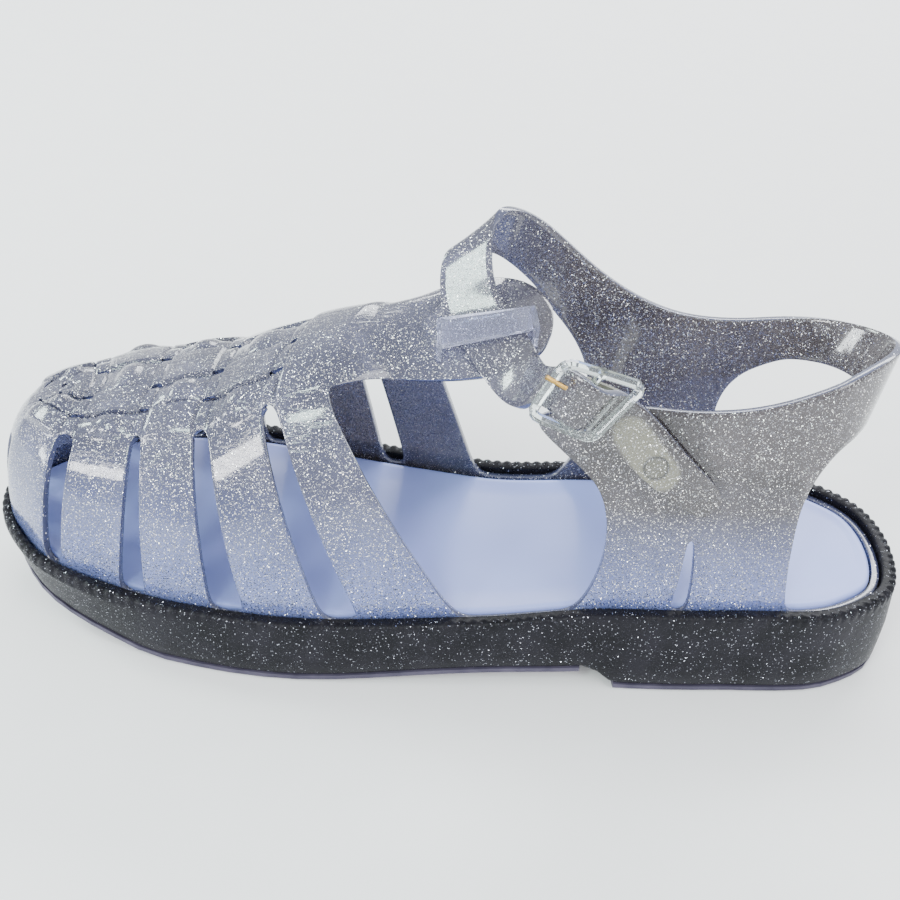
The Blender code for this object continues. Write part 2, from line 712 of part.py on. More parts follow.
def leg_grid(front, rear, top, shares, arc_at, side, root=None):
    """A quarter from its foot to its top line: columns between its front and rear edges."""
    levels = np.linspace(0, 1, LEG_ROWS)
    if root is None:
        front_points = edge_curve(front, levels)
    else:
        front_points = edge_curve(front, np.linspace(0, 1, LEG_ROWS - 2))
        front_points += [(front_points[-1] + np.array(root)) / 2, np.array(root)]
    rear_points = edge_curve(rear, levels)
    top_curve = chord_spline(top, 16)
    grid = []
    for low_share, high_share in shares:
        column = []
        front_arc = arc_at(front[0][0])
        rear_arc = arc_at(rear[0][0])
        foot = margin_point(front_arc + (rear_arc - front_arc) * low_share)
        slit_level = SLIT_ROWS / (LEG_ROWS - 1)
        for level, a, b in zip(levels, front_points, rear_points):
            share = low_share + (high_share - low_share) * min(level / slit_level, 1.0)
            x, z = a + (b - a) * share
            column.append([x, 0.0, z])
        end = top_point(top_curve, top, high_share)
        lift = end[2] - column[-1][2]
        slide = end[0] - column[-1][0]
        for level, p in zip(levels, column):
            weight = max((level - 0.55) / 0.45, 0.0) ** 2
            p[0] += slide * weight
            p[2] += lift * weight
        shift = foot[0] - column[0][0]
        height = column[-1][2] - foot[2]
        for row, p in enumerate(column):
            p[0] += shift * (1 - levels[row]) ** 3
            climb = min(max((p[2] - foot[2]) / height, 0.0), 1.0)
            bulge = side * QUARTER_BULGE * math.sin(math.pi * climb)
            p[1] = foot[1] + (end[1] - foot[1]) * climb + bulge
        column[0] = list(foot)
        grid.append([np.array(p) for p in column])
    return grid


def top_point(curve, top, share):
    x = top[0][0] + (top[-1][0] - top[0][0]) * share
    return np.array([np.interp(x, curve[:, 0], curve[:, axis]) for axis in range(3)])


def make_upper():
    net = Net()
    vamp, first, last = add_vamp(net)
    add_tongue(net, vamp, first, last)
    lateral = leg_grid(LATERAL_FRONT, LATERAL_REAR, LATERAL_TOP, LATERAL_SHARES, MARGIN.lateral_arc, -1)
    medial = leg_grid(MEDIAL_FRONT, MEDIAL_REAR, MEDIAL_TOP, MEDIAL_SHARES, MARGIN.medial_arc, 1, STRAP_ROOT)
    net.add_grid(lateral, lambda i, j: not (i == SLIT_COLUMN and j < SLIT_ROWS))
    net.add_grid(medial)
    add_heel_band(net, lateral, medial)
    add_ankle_strap(net, medial, lateral)
    add_margin(net)
    return net, lateral


def add_heel_band(net, lateral, medial):
    """The band round the heel, between the rear columns of the two quarters above the open heel."""
    start = lateral[-1][LEG_ROWS - 1 - BAND_ROWS:]
    end = medial[-1][LEG_ROWS - 1 - BAND_ROWS:]
    rows = np.array(HEEL_BAND, dtype=float)
    low_curve = chord_spline([start[0], *rows[:, :3], end[0]], 2)
    top_curve = chord_spline([start[-1], *rows[:, 3:], end[-1]], 2)
    grid = [list(start)]
    for low, top in zip(low_curve[1:-1], top_curve[1:-1]):
        grid.append([low + (top - low) * share for share in np.linspace(0, 1, BAND_ROWS + 1)])
    grid.append(list(end))
    net.add_grid(grid)


def depth_on(grid, x, z):
    """The y of a quarter's outer face at x and z, or of its nearest corner outside it."""
    spot = np.array([x, z])
    for column, following in zip(grid, grid[1:]):
        for j in range(len(column) - 1):
            a, b, c, d = column[j], following[j], following[j + 1], column[j + 1]
            for corners in ((a, b, c), (a, c, d)):
                flat = np.array([[p[0], p[2]] for p in corners])
                frame = np.stack([flat[1] - flat[0], flat[2] - flat[0]], axis=1)
                if abs(np.linalg.det(frame)) < 1e-6:
                    continue
                u, v = np.linalg.solve(frame, spot - flat[0])
                if u >= -0.01 and v >= -0.01 and u + v <= 1.01:
                    return corners[0][1] * (1 - u - v) + corners[1][1] * u + corners[2][1] * v
    cloud = np.array([p for column in grid for p in column])
    nearest = np.argmin(np.hypot(cloud[:, 0] - x, cloud[:, 2] - z))
    return cloud[nearest, 1]


def add_ankle_strap(net, medial, lateral):
    """The strap goes on from the front edge of the medial quarter's top."""
    rows = [list(row) for row in ANKLE_STRAP]
    for front_x, front_z, back_x, back_z, lift in STRAP_TIP:
        front_y = depth_on(lateral, front_x, front_z) - lift
        back_y = depth_on(lateral, back_x, back_z) - lift
        rows.append([front_x, front_y, front_z, back_x, back_y, back_z])
    rows = np.array(rows)
    root = medial[0][-3:]
    front = chord_spline([root[0], *rows[:, :3]], 2)
    back = chord_spline([root[2], *rows[:, 3:]], 2)
    grid = [list(root)]
    for a, b in zip(front[1:], back[1:]):
        grid.append([a, (a + b) / 2, b])
    net.add_grid(grid)


def foot_spans():
    """The stretches of the margin line that a strap, the toe piece or a quarter stands on."""
    spans = []
    columns = vamp_columns()
    for column, following in zip(columns, columns[1:]):
        if column[4] > 0:
            spans.append((column[0], following[0]))
            spans.append((MARGIN.length - following[2], MARGIN.length - column[2]))
    for shares, front, rear, arc_at in (
        (LATERAL_SHARES, LATERAL_FRONT, LATERAL_REAR, MARGIN.lateral_arc),
        (MEDIAL_SHARES, MEDIAL_FRONT, MEDIAL_REAR, MARGIN.medial_arc),
    ):
        front_arc = arc_at(front[0][0])
        rear_arc = arc_at(rear[0][0])
        arcs = [front_arc + (rear_arc - front_arc) * low_share for low_share, _ in shares]
        spans += [tuple(sorted(pair)) for pair in zip(arcs, arcs[1:])]
    return sorted(spans)


def add_margin(net):
    """The lasting margin: a low wall all round, in the groove between the rim and the insole."""
    spans = foot_spans()
    arcs = []
    for k, (start, end) in enumerate(spans):
        arcs.append(start)
        following = spans[k + 1][0] if k + 1 < len(spans) else MARGIN.length
        parts = int(math.ceil((following - end) / MARGIN_STEP)) if following - end > 0.01 else 0
        arcs += [end + (following - end) * step / parts for step in range(parts)]
    arcs.append(MARGIN.length)
    net.add_grid([[margin_point(arc), margin_point(arc, MARGIN_TOP_DROP + MARGIN_TALL)] for arc in arcs])


def thicken(name, net, thickness, colour, roughness, offset=-1.0, closed=True):
    """Give a net a wall, inwards from its outer face."""
    obj = mesh_object(name, net.points, net.faces, colour, roughness, closed=closed)
    solid = obj.modifiers.new("Wall", "SOLIDIFY")
    solid.thickness = thickness * MM
    solid.offset = offset
    solid.use_even_offset = True
    return obj


def tongue_top(x, y):
    """The height of the tongue's outer face at x and y."""
    low_y, _, mid_y, _, far_y, _ = look_up(TONGUE, x)
    side = (y - mid_y) / (mid_y - low_y if y < mid_y else far_y - mid_y)
    return tongue_point(x, side)[2]


def make_keeper():
    """A bridge over the strap, with a foot at each end on the tongue."""
    points = []
    faces = []
    for y, left_x, left_z, right_x, right_z in KEEPER:
        inner_left = left_x + KEEPER_WALL
        inner_right = right_x - KEEPER_WALL
        left_foot = tongue_top(left_x + KEEPER_WALL / 2, y) + TOUCH_GAP + 0.1
        right_foot = tongue_top(right_x - KEEPER_WALL / 2, y) + TOUCH_GAP + 0.1
        points += [
            (left_x, y, left_foot), (left_x, y, left_z), (right_x, y, right_z), (right_x, y, right_foot),
            (inner_right, y, right_foot), (inner_right, y, right_z - KEEPER_WALL),
            (inner_left, y, left_z - KEEPER_WALL), (inner_left, y, left_foot),
        ]
    for i in range(8):
        j = (i + 1) % 8
        faces.append((i, j, 8 + j, 8 + i))
    for start in (0, 8):
        for corners in ((0, 1, 6, 7), (1, 2, 5, 6), (2, 3, 4, 5)):
            faces.append([start + corner for corner in corners])
    obj = mesh_object("keeper_loop", points, faces, (0.75, 0.78, 0.86), 0.12, smooth_angle=30.0)
    bevel = obj.modifiers.new("Edges", "BEVEL")
    bevel.width = 0.35 * MM
    bevel.segments = 2
    bevel.limit_method = "ANGLE"
    return obj


def sweep(path, half_width, half_depth, closed):
    """A bar with an eight-sided section along a path, its depth along y."""
    points = []
    faces = []
    count = len(path)
    sides = 8
    path = [np.array(p, dtype=float) for p in path]
    for i, p in enumerate(path):
        ahead = path[(i + 1) % count] if closed or i < count - 1 else p
        behind = path[i - 1] if closed or i > 0 else p
        run = ahead - behind
        width_axis = np.cross(run, [0.0, -1.0, 0.0])
        width_axis /= np.linalg.norm(width_axis)
        for k in range(sides):
            angle = (k + 0.5) * 2 * math.pi / sides
            across = width_axis * half_width * math.cos(angle) * 1.08
            points.append(p + across + np.array([0.0, -half_depth * math.sin(angle) * 1.08, 0.0]))
    for i in range(count if closed else count - 1):
        for k in range(sides):
            a = i * sides
            b = (i + 1) % count * sides
            faces.append((a + k, a + (k + 1) % sides, b + (k + 1) % sides, b + k))
    if not closed:
        faces.append(tuple(range(sides)))
        faces.append(tuple(range((count - 1) * sides, count * sides)))
    return points, faces


def buckle_path():
    """The centre line of the frame's four bars, with rounded corners."""
    corners = np.array(BUCKLE_CORNERS)
    inwards = corners.mean(axis=0) - corners
    inwards /= np.linalg.norm(inwards, axis=1)[:, None]
    corners = corners + inwards * BAR_HALF_WIDTH * math.sqrt(2)
    path = []
    for k in range(4):
        corner = corners[k]
        back = corners[k - 1] - corner
        ahead = corners[(k + 1) % 4] - corner
        start = corner + back / np.linalg.norm(back) * CORNER_RADIUS
        end = corner + ahead / np.linalg.norm(ahead) * CORNER_RADIUS
        for t in np.linspace(0, 1, 5):
            path.append((1 - t) ** 2 * start + 2 * t * (1 - t) * corner + t * t * end)
    return path, corners


def centre_bar_ends(corners):
    top = (corners[0] + corners[1]) / 2
    low = (corners[2] + corners[3]) / 2
    return (top[0], CENTRE_BAR_Y, top[2]), (low[0], CENTRE_BAR_Y, low[2])


def make_buckle():
    """A frame with a centre bar, set back so that the strap passes over it."""
    path, corners = buckle_path()
    frame = mesh_object("buckle_frame", *sweep(path, BAR_HALF_WIDTH, BAR_HALF_DEPTH, True), (0.8, 0.84, 0.9), 0.08)
    bar_points, bar_faces = sweep(centre_bar_ends(corners), CENTRE_BAR_RADIUS, CENTRE_BAR_RADIUS, False)
    bar = mesh_object("centre_bar", bar_points, bar_faces, (0.8, 0.84, 0.9), 0.08)
    bar.hide_render = True
    bar.display_type = "WIRE"
    union = frame.modifiers.new("Centre bar", "BOOLEAN")
    union.operation = "UNION"
    union.solver = "EXACT"
    union.object = bar
    points, faces = sweep(PRONG, PRONG_RADIUS, PRONG_RADIUS, False)
    mesh_object("buckle_prong", points, faces, (0.75, 0.52, 0.2), 0.25, 1.0)
    return corners


def make_tab(corners, lateral):
    """The tab hooks round the centre bar and lies on the near quarter as far as the rivet."""
    top, low = (np.array(p) for p in centre_bar_ends(corners))
    middle = (top + low) / 2
    across = (top - low) / np.linalg.norm(top - low)
    along = np.array([across[2], 0.0, -across[0]])
    reach = CENTRE_BAR_RADIUS + 0.4 + TAB_WALL
    net = Net()
    grid = []
    hook = [(0.9, -reach)]
    hook += [(-reach * math.sin(a), -reach * math.cos(a)) for a in np.linspace(0, math.pi, 7)]
    hook += [(4.0, 3.2), (8.6, 4.2)]
    for run, depth in hook:
        mid = middle + along * run
        mid[1] = CENTRE_BAR_Y + depth
        grid.append([mid - across * TAB_HALF_WIDTH, mid, mid + across * TAB_HALF_WIDTH])
    heading = along
    for k, (x, z, half) in enumerate(TAB_ON_QUARTER):
        if k > 0:
            heading = np.array([x - TAB_ON_QUARTER[k - 1][0], 0.0, z - TAB_ON_QUARTER[k - 1][1]])
            heading /= np.linalg.norm(heading)
        side = np.array([-heading[2], 0.0, heading[0]])
        row = []
        for share in (-1, 0, 1):
            p = np.array([x, 0.0, z]) + side * half * share
            p[1] = depth_on(lateral, p[0], p[2]) - TOUCH_GAP - 0.1
            row.append(p)
        grid.append(row)
    net.add_grid(grid)
    return thicken("buckle_tab", net, TAB_WALL, (0.75, 0.78, 0.84), 0.15, closed=False)


def make_rivet(lateral):
    """A flat round head on the tab's end."""
    x, z = RIVET_CENTRE
    y = depth_on(lateral, x, z)
    slope = (depth_on(lateral, x, z + 4) - depth_on(lateral, x, z - 4)) / 8
    out = np.array([0.0, -1.0, slope])
    out /= np.linalg.norm(out)
    rise = np.cross([1.0, 0.0, 0.0], out)
    base = np.array([x, y, z]) + out * (TOUCH_GAP + 0.1 + TAB_WALL + TOUCH_GAP)
    points = []
    faces = []
    sides = 20
    for height, radius in ((0.0, RIVET_RADIUS), (RIVET_TALL * 0.6, RIVET_RADIUS), (RIVET_TALL, RIVET_RADIUS * 0.85)):
        for k in range(sides):
            angle = 2 * math.pi * k / sides
            spoke = np.array([math.cos(angle), 0.0, 0.0]) + rise * math.sin(angle)
            points.append(base + out * height + spoke * radius)
    for ring in range(2):
        for k in range(sides):
            a = ring * sides
            b = a + sides
            faces.append((a + k, a + (k + 1) % sides, b + (k + 1) % sides, b + k))
    faces.append(tuple(range(sides)))
    faces.append(tuple(range(2 * sides, 3 * sides)))
    mesh_object("rivet", points, faces, (0.55, 0.56, 0.66), 0.3)


def settle():
    """Move every piece so that the middle of the shoe's length and width is the origin."""
    bpy.context.view_layer.update()
    depsgraph = bpy.context.evaluated_depsgraph_get()
    corners = []
    for obj in bpy.data.objects:
        mesh = obj.evaluated_get(depsgraph).to_mesh()
        corners.extend(v.co.copy() for v in mesh.vertices)
        obj.evaluated_get(depsgraph).to_mesh_clear()
    corners = np.array(corners)
    low = corners.min(axis=0)
    high = corners.max(axis=0)
    shift = [-(low[0] + high[0]) / 2, -(low[1] + high[1]) / 2, -low[2]]
    for obj in bpy.data.objects:
        for vertex in obj.data.vertices:
            for axis in range(3):
                vertex.co[axis] += shift[axis]
    return shift


def main():
    for obj in list(bpy.data.objects):
        bpy.data.objects.remove(obj, do_unlink=True)
    make_sole()
    make_outsole("outsole_forepart", None, BREAST_FRONT_X)
    make_outsole("outsole_heel", BREAST_REAR_X, None)
    make_insole()
    upper, lateral = make_upper()
    thicken("upper", upper, WALL, (0.62, 0.62, 0.7), 0.2)
    make_keeper()
    corners = make_buckle()
    make_tab(corners, lateral)
    make_rivet(lateral)
    return settle()


SHIFT = main()
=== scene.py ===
"""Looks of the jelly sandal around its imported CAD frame.

Tables and sizes are in millimetres in the sandal's own layout, as in the part's source. The toe points
to -X, the heel to +X and the buckle side to -Y. The meshes are made in metres.
"""
import math

import bmesh
import bpy
import numpy as np
from mathutils import Matrix, Vector


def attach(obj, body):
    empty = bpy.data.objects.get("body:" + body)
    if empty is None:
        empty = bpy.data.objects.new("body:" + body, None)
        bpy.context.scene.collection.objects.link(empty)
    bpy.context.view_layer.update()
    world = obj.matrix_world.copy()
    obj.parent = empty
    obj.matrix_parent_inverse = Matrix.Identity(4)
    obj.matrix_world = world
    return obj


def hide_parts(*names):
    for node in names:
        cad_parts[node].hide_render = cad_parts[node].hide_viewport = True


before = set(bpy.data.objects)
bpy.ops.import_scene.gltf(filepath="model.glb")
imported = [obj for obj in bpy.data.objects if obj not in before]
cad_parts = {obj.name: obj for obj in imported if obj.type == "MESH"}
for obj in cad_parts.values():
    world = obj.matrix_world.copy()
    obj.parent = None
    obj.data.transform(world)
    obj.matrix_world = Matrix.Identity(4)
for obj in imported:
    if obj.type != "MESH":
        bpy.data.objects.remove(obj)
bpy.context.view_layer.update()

MM = 0.001

# Middle of the shoe in the layout of the tables, which is the origin of the frame
MIDDLE = (-0.5788, 0.0393)

# Camera: the point it is aimed at, its turn, height and roll in radians, distance and lens
CAMERA_TARGET = (1.3, -2.5, 30.0)
CAMERA_YAW = -0.09457
CAMERA_HEIGHT = 0.67861
CAMERA_ROLL = 0.12
CAMERA_DISTANCE = 360.0
CAMERA_LENS = 49.94
CAMERA_SHIFT = (-0.0173, 0.0644)

# Soft lights: name, place in metres, size, power and colour. All are aimed at one point.
LIGHT_AIM = (0.0, 0.0, 0.04)
LIGHTS = (
    ("key_light", (-0.85, -0.80, 0.55), (0.25, 0.20), 6.0, (1.0, 1.0, 1.0)),
    ("strap_light", (-0.40, -0.67, 0.80), (0.14, 0.26), 4.5, (0.80, 1.0, 0.92)),
    ("low_light", (-0.88, 0.33, 0.62), (0.25, 0.25), 7.0, (0.84, 1.0, 0.94)),
    ("toe_light", (-1.15, -0.24, 0.27), (0.30, 0.20), 6.0, (0.92, 0.98, 1.0)),
    ("back_light", (0.35, 1.00, 0.80), (1.10, 0.30), 16.0, (0.95, 0.98, 1.0)),
    ("fill_light", (0.90, -0.80, 0.70), (0.60, 0.60), 9.0, (1.0, 1.0, 1.0)),
)

# The surroundings
SKY_COLOUR = (0.93, 0.96, 1.0, 1.0)
SKY_STRENGTH = 1.5

# The tab and the rivet under the strap's free end, painted onto the strap as they show through it, in
# metres
TAB_LINE = ((0.0370, -0.0350, 0.0820), (0.0465, -0.0350, 0.0712))
RIVET_PLACE = (0.0448, -0.0355, 0.0732)
PAINTED_TAB_STOPS = ((0.0, 1.0), (0.0042, 1.0), (0.0052, 0.0))
PAINTED_RIVET_RING_STOPS = ((0.0, 0.4), (0.0026, 0.4), (0.0030, 1.0), (0.0036, 0.0))

# The weave: the vamp column where the first strap starts, the share where the woven strip starts, the
# spans of shares and columns over which it fades in, and the middle and half width of its strands
FIRST_STRAP_COLUMN = 3
WEAVE_START = 0.66
WEAVE_FADE = (0.64, 0.672)
COLUMN_FADE = (1.5, 4.0)
TAGS = ("column", "share", "weight")
TAG_REACH = 0.02 * MM
STRANDS = ((0.7175, 0.062), (0.8575, 0.062), (1.0, 0.066))

# The weave's rise in millimetres: the roundness of a strand, its rise and sink in a slot, at the edges
# and middle of a strap that it passes over, and the rise of a strap over it and of the rear strap
STRAND_POWER = 2.4
SLOT_RISE, SLOT_SINK = 1.3, 0.75
OVER_RISE, OVER_CREST = 0.9, 1.9
OVER_SINK, SINK_CREST = 0.9, 0.4
STRAP_BASE, STRAP_CREST, STRAP_POWER = 0.1, 1.3, 0.25
REAR_STRAP_RISE = 1.2

# Tones of the upper, which paint light and shade into one plastic by place: stops of place and colour
# Painted light: pale blue where the foot bed shows through, low on the near side
PAINTED_SEE_THROUGH_LIGHT = ((0.3, (0.20, 0.25, 0.54)), (0.7, (0.29, 0.35, 0.68)))
# Lilac with the blue of the foot bed below painted in, at the front
LILAC_WITH_PAINTED_SEE_THROUGH = ((0.3, (0.085, 0.09, 0.155)), (0.7, (0.145, 0.15, 0.24)))
# Painted shade: darker smoke towards the far side and the heel
PAINTED_SHADE_SMOKE = ((0.3, (0.060, 0.051, 0.056)), (0.7, (0.110, 0.096, 0.103)))
# Painted see-through tint of the tab, and a painted dark ring for the rivet's shaded edge
PAINTED_TAB_SEEN_THROUGH = (0.30, 0.29, 0.22, 1.0)
PAINTED_RIVET_SHADE_RING = (0.03, 0.03, 0.035, 1.0)
CLEAR_SETTINGS = {
    "Roughness": 0.16, "IOR": 1.38, "Transmission Weight": 0.55,
    "Coat Weight": 0.8, "Coat Roughness": 0.05,
}

# Noise of the upper: scale, detail and stretch. The drawn marks lie on top of the vamp. The relief is a
# strength and a distance in metres.
HAZE = (55.0, 3.0)
FINE_GRAIN = (420.0, 3.0)
FINE_SHARE = 0.15
DRAWN_MARKS = (1.0, 2.0, (130.0, 700.0, 700.0))
RELIEF = (0.7, 0.0005)

# Where the upper's painted light and shade change and the drawn marks fade: an axis and a span along it in
# metres
# The painted shade grows towards the heel and the far side
PAINTED_SHADE_TO_HEEL = ("X", -0.015, 0.03)
PAINTED_SHADE_TO_FAR_SIDE = ("Y", 0.012, 0.032)
# The painted see-through light fades out upwards and away from the near side
PAINTED_LIGHT_FADES_UP = ("Z", 0.030, 0.058)
PAINTED_LIGHT_TO_NEAR_SIDE = ("Y", 0.025, -0.015)
DRAWN_HEIGHT = ("Z", 0.048, 0.056)
DRAWN_FORWARDS = ("X", 0.0, -0.025)

# Glitter: cells a metre, share of the cells with a fleck, how far the flecks tilt, and their colour
FLECK_RADIUS = 0.42
FLECK_ROUGHNESS = 0.28
GREY_FLECKS = (3500.0, 0.34, 1.2, (0.34, 0.34, 0.38))
WHITE_FLECKS = (3000.0, 0.15, 1.3, (0.95, 0.93, 0.90))
DARK_FLECKS = (2700.0, 0.24, 1.0, (0.05, 0.055, 0.12))

# Plain finishes: scale and detail of the tone's noise, its stops of place and colour, settings of the
# shader, the bump (scale, detail, strength and distance in metres) and the glitter
# Walls of the cuts and slots: the plastic's cut face, darkened as painted shade so the slits look dark
CUT_EDGE_WITH_PAINTED_SHADE = (
    (90.0, 3.0), ((0.3, (0.05, 0.055, 0.11)), (0.7, (0.10, 0.11, 0.20))),
    {"Roughness": 0.18, "Transmission Weight": 0.2, "Coat Weight": 0.6, "Coat Roughness": 0.08},
    None, [(2300.0, 0.12, 1.2, (0.6, 0.6, 0.68))],
)
DARK_GLITTER = (
    (90.0, 4.0), ((0.35, (0.004, 0.004, 0.006)), (0.7, (0.012, 0.011, 0.016))),
    {"Roughness": 0.42, "Specular IOR Level": 0.15},
    (700.0, 3.0, 0.25, 0.0004),
    [(3000.0, 0.26, 1.5, (0.045, 0.045, 0.055)), (2400.0, 0.075, 1.5, (0.36, 0.37, 0.42))],
)
FOOT_BED = (
    (18.0, 2.0), ((0.3, (0.30, 0.37, 0.80)), (0.75, (0.40, 0.47, 0.90))),
    {"Roughness": 0.34, "Specular IOR Level": 0.2, "Coat Weight": 0.06, "Coat Roughness": 0.12},
    (26.0, 2.0, 0.35, 0.002), [],
)
WEAR_LAYER = (
    (160.0, 4.0), ((0.3, (0.045, 0.04, 0.065)), (0.75, (0.09, 0.08, 0.12))),
    {"Roughness": 0.5, "Specular IOR Level": 0.2}, (900.0, 3.0, 0.2, 0.0003), [],
)
GOLD = (
    (1400.0, 4.0), ((0.3, (0.34, 0.20, 0.05)), (0.7, (0.46, 0.29, 0.09))),
    {"Metallic": 1.0, "Roughness": 0.22}, (1400.0, 4.0, 0.15, 0.0001), [],
)
FLOOR_PAPER = (
    (60.0, 2.0), ((0.3, (0.95, 0.95, 0.955)), (0.7, (0.965, 0.965, 0.97))), {"Roughness": 0.9}, None, [],
)

# Hardware: CAD node, name, slot, width of the rounded edges in millimetres, colour, transmission and
# roughness
HARDWARE = (
    ("keeper_loop", "keeper_bridge", "clear_plastic", 0.5, (0.72, 0.74, 0.95), 0.92, 0.05),
    ("buckle_frame", "buckle_body", "clear_plastic", 0.45, (0.90, 1.0, 0.97), 0.96, 0.02),
    ("buckle_tab", "tab_body", "tab_plastic", 0.3, (0.55, 0.55, 0.45), 0.6, 0.15),
    ("rivet", "rivet_head", "clear_plastic", 0.2, (0.34, 0.34, 0.42), 0.3, 0.2),
)

# CAD nodes that stay, and their finish
KEPT_NODES = (("outsole_forepart", WEAR_LAYER), ("outsole_heel", WEAR_LAYER), ("buckle_prong", GOLD))

# Rim of the sole
NOTCH_PITCH = 3.0
NOTCH_DEPTH = 0.45
NOTCH_LEAN = 0.6
NOTCH_POWER = 1.5
SOLE_STATIONS = 900
INSOLE_STATIONS = 220
OUTLINE_SAMPLES = 240

# Driving sizes of the sole
OUTSOLE_THICK = 2.0
TOUCH_GAP = 0.3
LEDGE_WIDTH = 4.0
LEDGE_WIDTH_TOE = 1.9
RECESS_DEPTH = 5.4
EDGE_ROUND = 1.2
INSOLE_DROP = 1.9
BREAST_SPAN = (31.0, 48.5)
TOE_LEAN = 3.0
HEEL_FLARE = 1.3

# Where the ledge narrows, the side leans in and flares out, the toe fills and the straps lean back: x
# from none to all of it
LEDGE_NARROWS = (-95.0, -127.0)
TOE_LEANS = (-60.0, -110.0)
HEEL_FLARES = (95.0, 123.0)
TOE_FILLS = (-70.0, -120.0)
STRAPS_LEAN = (-118.0, -93.0)

# Driving sizes of the upper
WALL = 2.0
MARGIN_GAP = 0.4
MARGIN_TOP_DROP = 2.4
MARGIN_TALL = 2.6
MARGIN_STEP = 6.5
TOE_FULLNESS = 3.0
BODY_FULLNESS = 2.3
SLOT_TOP = 0.66
TOE_SLOT_TOP = 0.42

# Lines of the toe piece: arc from the toe tip on both sides, x of the top, and 0 where a slot starts.
# The lines along the straps are shares of their width.
TOE_PIECE = ((0.0, -106.0, 1), (2.5, -105.9, 1), (5.0, -105.7, 0))
STRAP_CUTS = (0.0, 0.15, 0.85)
REAR_STRAP_CUTS = (0.0, 0.13, 0.5, 0.87)

# Rounded edges: width in millimetres, segments, and the angle in degrees that is rounded. A slab's
# edges over its own angle stay sharp.
UPPER_EDGE = (0.45, 1, 65.0)
HARDWARE_EDGE = (3, 35.0)
SLAB_ANGLE = 50.0

# Rings up the side of the two slabs: fixed inset, share of the side's lean, share of the ledge's width,
# height over the rim, share of the way down to the body's bottom, and share of the notches
SOLE_RINGS = (
    (EDGE_ROUND, 1, 0, 0, 1, 0), (0.5, 1, 0, EDGE_ROUND * 0.4, 1, 0),
    (0.2, 1, 0, EDGE_ROUND, 1, 0), (-0.1, 0.8, 0, 0, 0.75, 0),
    (-0.3, 0.55, 0, 0, 0.5, 0), (-0.1, 0.2, 0, 0, 0.25, 0),
    (0, 0, 0, -3.2, 0, 0), (0, 0, 0, -2.7, 0, 0.3),
    (0, 0, 0, -1.1, 0, 1), (0.35, 0, 0, -0.35, 0, 1),
    (1, 0, 0, 0, 0, 1), (1.9, 0, 0, -0.05, 0, 0.6),
    (2.3, 0, 0, -0.25, 0, 0), (-0.5, 0, 1, -0.2, 0, 0),
    (0, 0, 1, -0.6, 0, 0), (0, 0, 1, -RECESS_DEPTH, 0, 0),
)
INSOLE_INSET = MARGIN_GAP + WALL + 0.9
INSOLE_RINGS = tuple(
    (INSOLE_INSET + inwards, 0, 1, above, 0, 0)
    for inwards, above in (
        (0.0, TOUCH_GAP - RECESS_DEPTH), (0.0, -INSOLE_DROP - 1.1), (0.15, -INSOLE_DROP - 0.5),
        (0.5, -INSOLE_DROP - 0.12), (1.1, -INSOLE_DROP), (2.2, -INSOLE_DROP - 0.1),
        (3.6, -INSOLE_DROP - 0.35),
    )
)

# Outline of the sole's rim: x, y from the back of the heel round the medial side to the toe and back
OUTLINE = (
    (126.6, -8.9), (122.5, 11.0), (108.0, 23.5), (79.3, 29.5), (45.0, 27.2), (15.0, 28.8),
    (-12.0, 35.2), (-45.0, 43.3), (-70.7, 45.8), (-98.7, 39.9), (-116.0, 26.0), (-127.6, 8.0),
    (-128.0, -9.5), (-118.5, -25.2), (-90.0, -39.0), (-57.0, -44.7), (-10.0, -44.8),
    (30.0, -43.0), (72.0, -41.6), (108.4, -36.5), (121.5, -27.0),
)

# Height of the rim: x, z
RIM_HEIGHT = ((-129, 27.6), (-88, 21.9), (-48, 21.1), (7, 24.3), (42, 28.3), (127, 29.4))

# Height of the ground side, with toe spring, arch and heel breast: x, z
GROUND_HEIGHT = (
    (-129, 14.0), (-114, 7.8), (-98, 3.4), (-80, 0.0), (-48, 0.0), (-38, 0.4), (7, 5.0), (29.5, 5.8),
    (34.5, 6.2), (39.3, 4.1), (43.2, 0.7), (45.5, 0.0), (120, 0.0), (127, 0.8),
)

# Ridge of the vamp, where the foot is highest: x, y, z
RIDGE = (
    (-106, 0.5, 60.5), (-99, 1.5, 62.5), (-84, 3.0, 66.5), (-68, 4.0, 71.2), (-52, 4.5, 79.0),
    (-42, 5.0, 84.6), (-30, 5.0, 88.6),
)

# Front and rear edge of each side strap, from the toe back: x of the lateral foot and of the lateral
# slot top, and the same on the medial side
STRAP_EDGES = (
    (-124.8, -105.0, -124.0, -105.0), (-113.0, -102.5, -111.0, -101.0),
    (-108.0, -99.5, -104.5, -97.5), (-92.0, -88.0, -86.5, -83.5),
    (-84.5, -85.5, -79.0, -78.5), (-67.0, -73.5, -60.0, -64.0),
    (-57.4, -70.0, -51.5, -59.0), (-37.0, -58.5, -22.5, -37.7),
    (-26.4, -55.0, -15.1, -33.5), (-0.9, -45.0, 6.0, -18.7),
)

# Tongue cross-sections: x, lateral edge y and z, middle y and z, medial edge y and z
TONGUE = (
    (-48, -14.0, 74.0, 4.5, 82.5, 22.0, 80.5),
    (-34, -13.5, 78.5, 4.5, 88.0, 20.5, 86.5),
    (-25, -13.0, 79.2, 4.5, 89.6, 20.0, 89.0),
    (-12, -13.0, 80.0, 4.0, 90.4, 19.5, 92.0),
    (0, -13.0, 81.8, 3.5, 90.9, 18.5, 93.4),
    (12, -12.5, 86.0, 3.0, 91.8, 17.0, 94.3),
    (20, -12.0, 88.5, 3.0, 92.0, 15.0, 94.0),
)
TONGUE_END_X = 18.8
TONGUE_END_ROUND = 11.0
TONGUE_COLUMNS = 9
TONGUE_JOIN = 0.4
TONGUE_DRIFT = 12.0

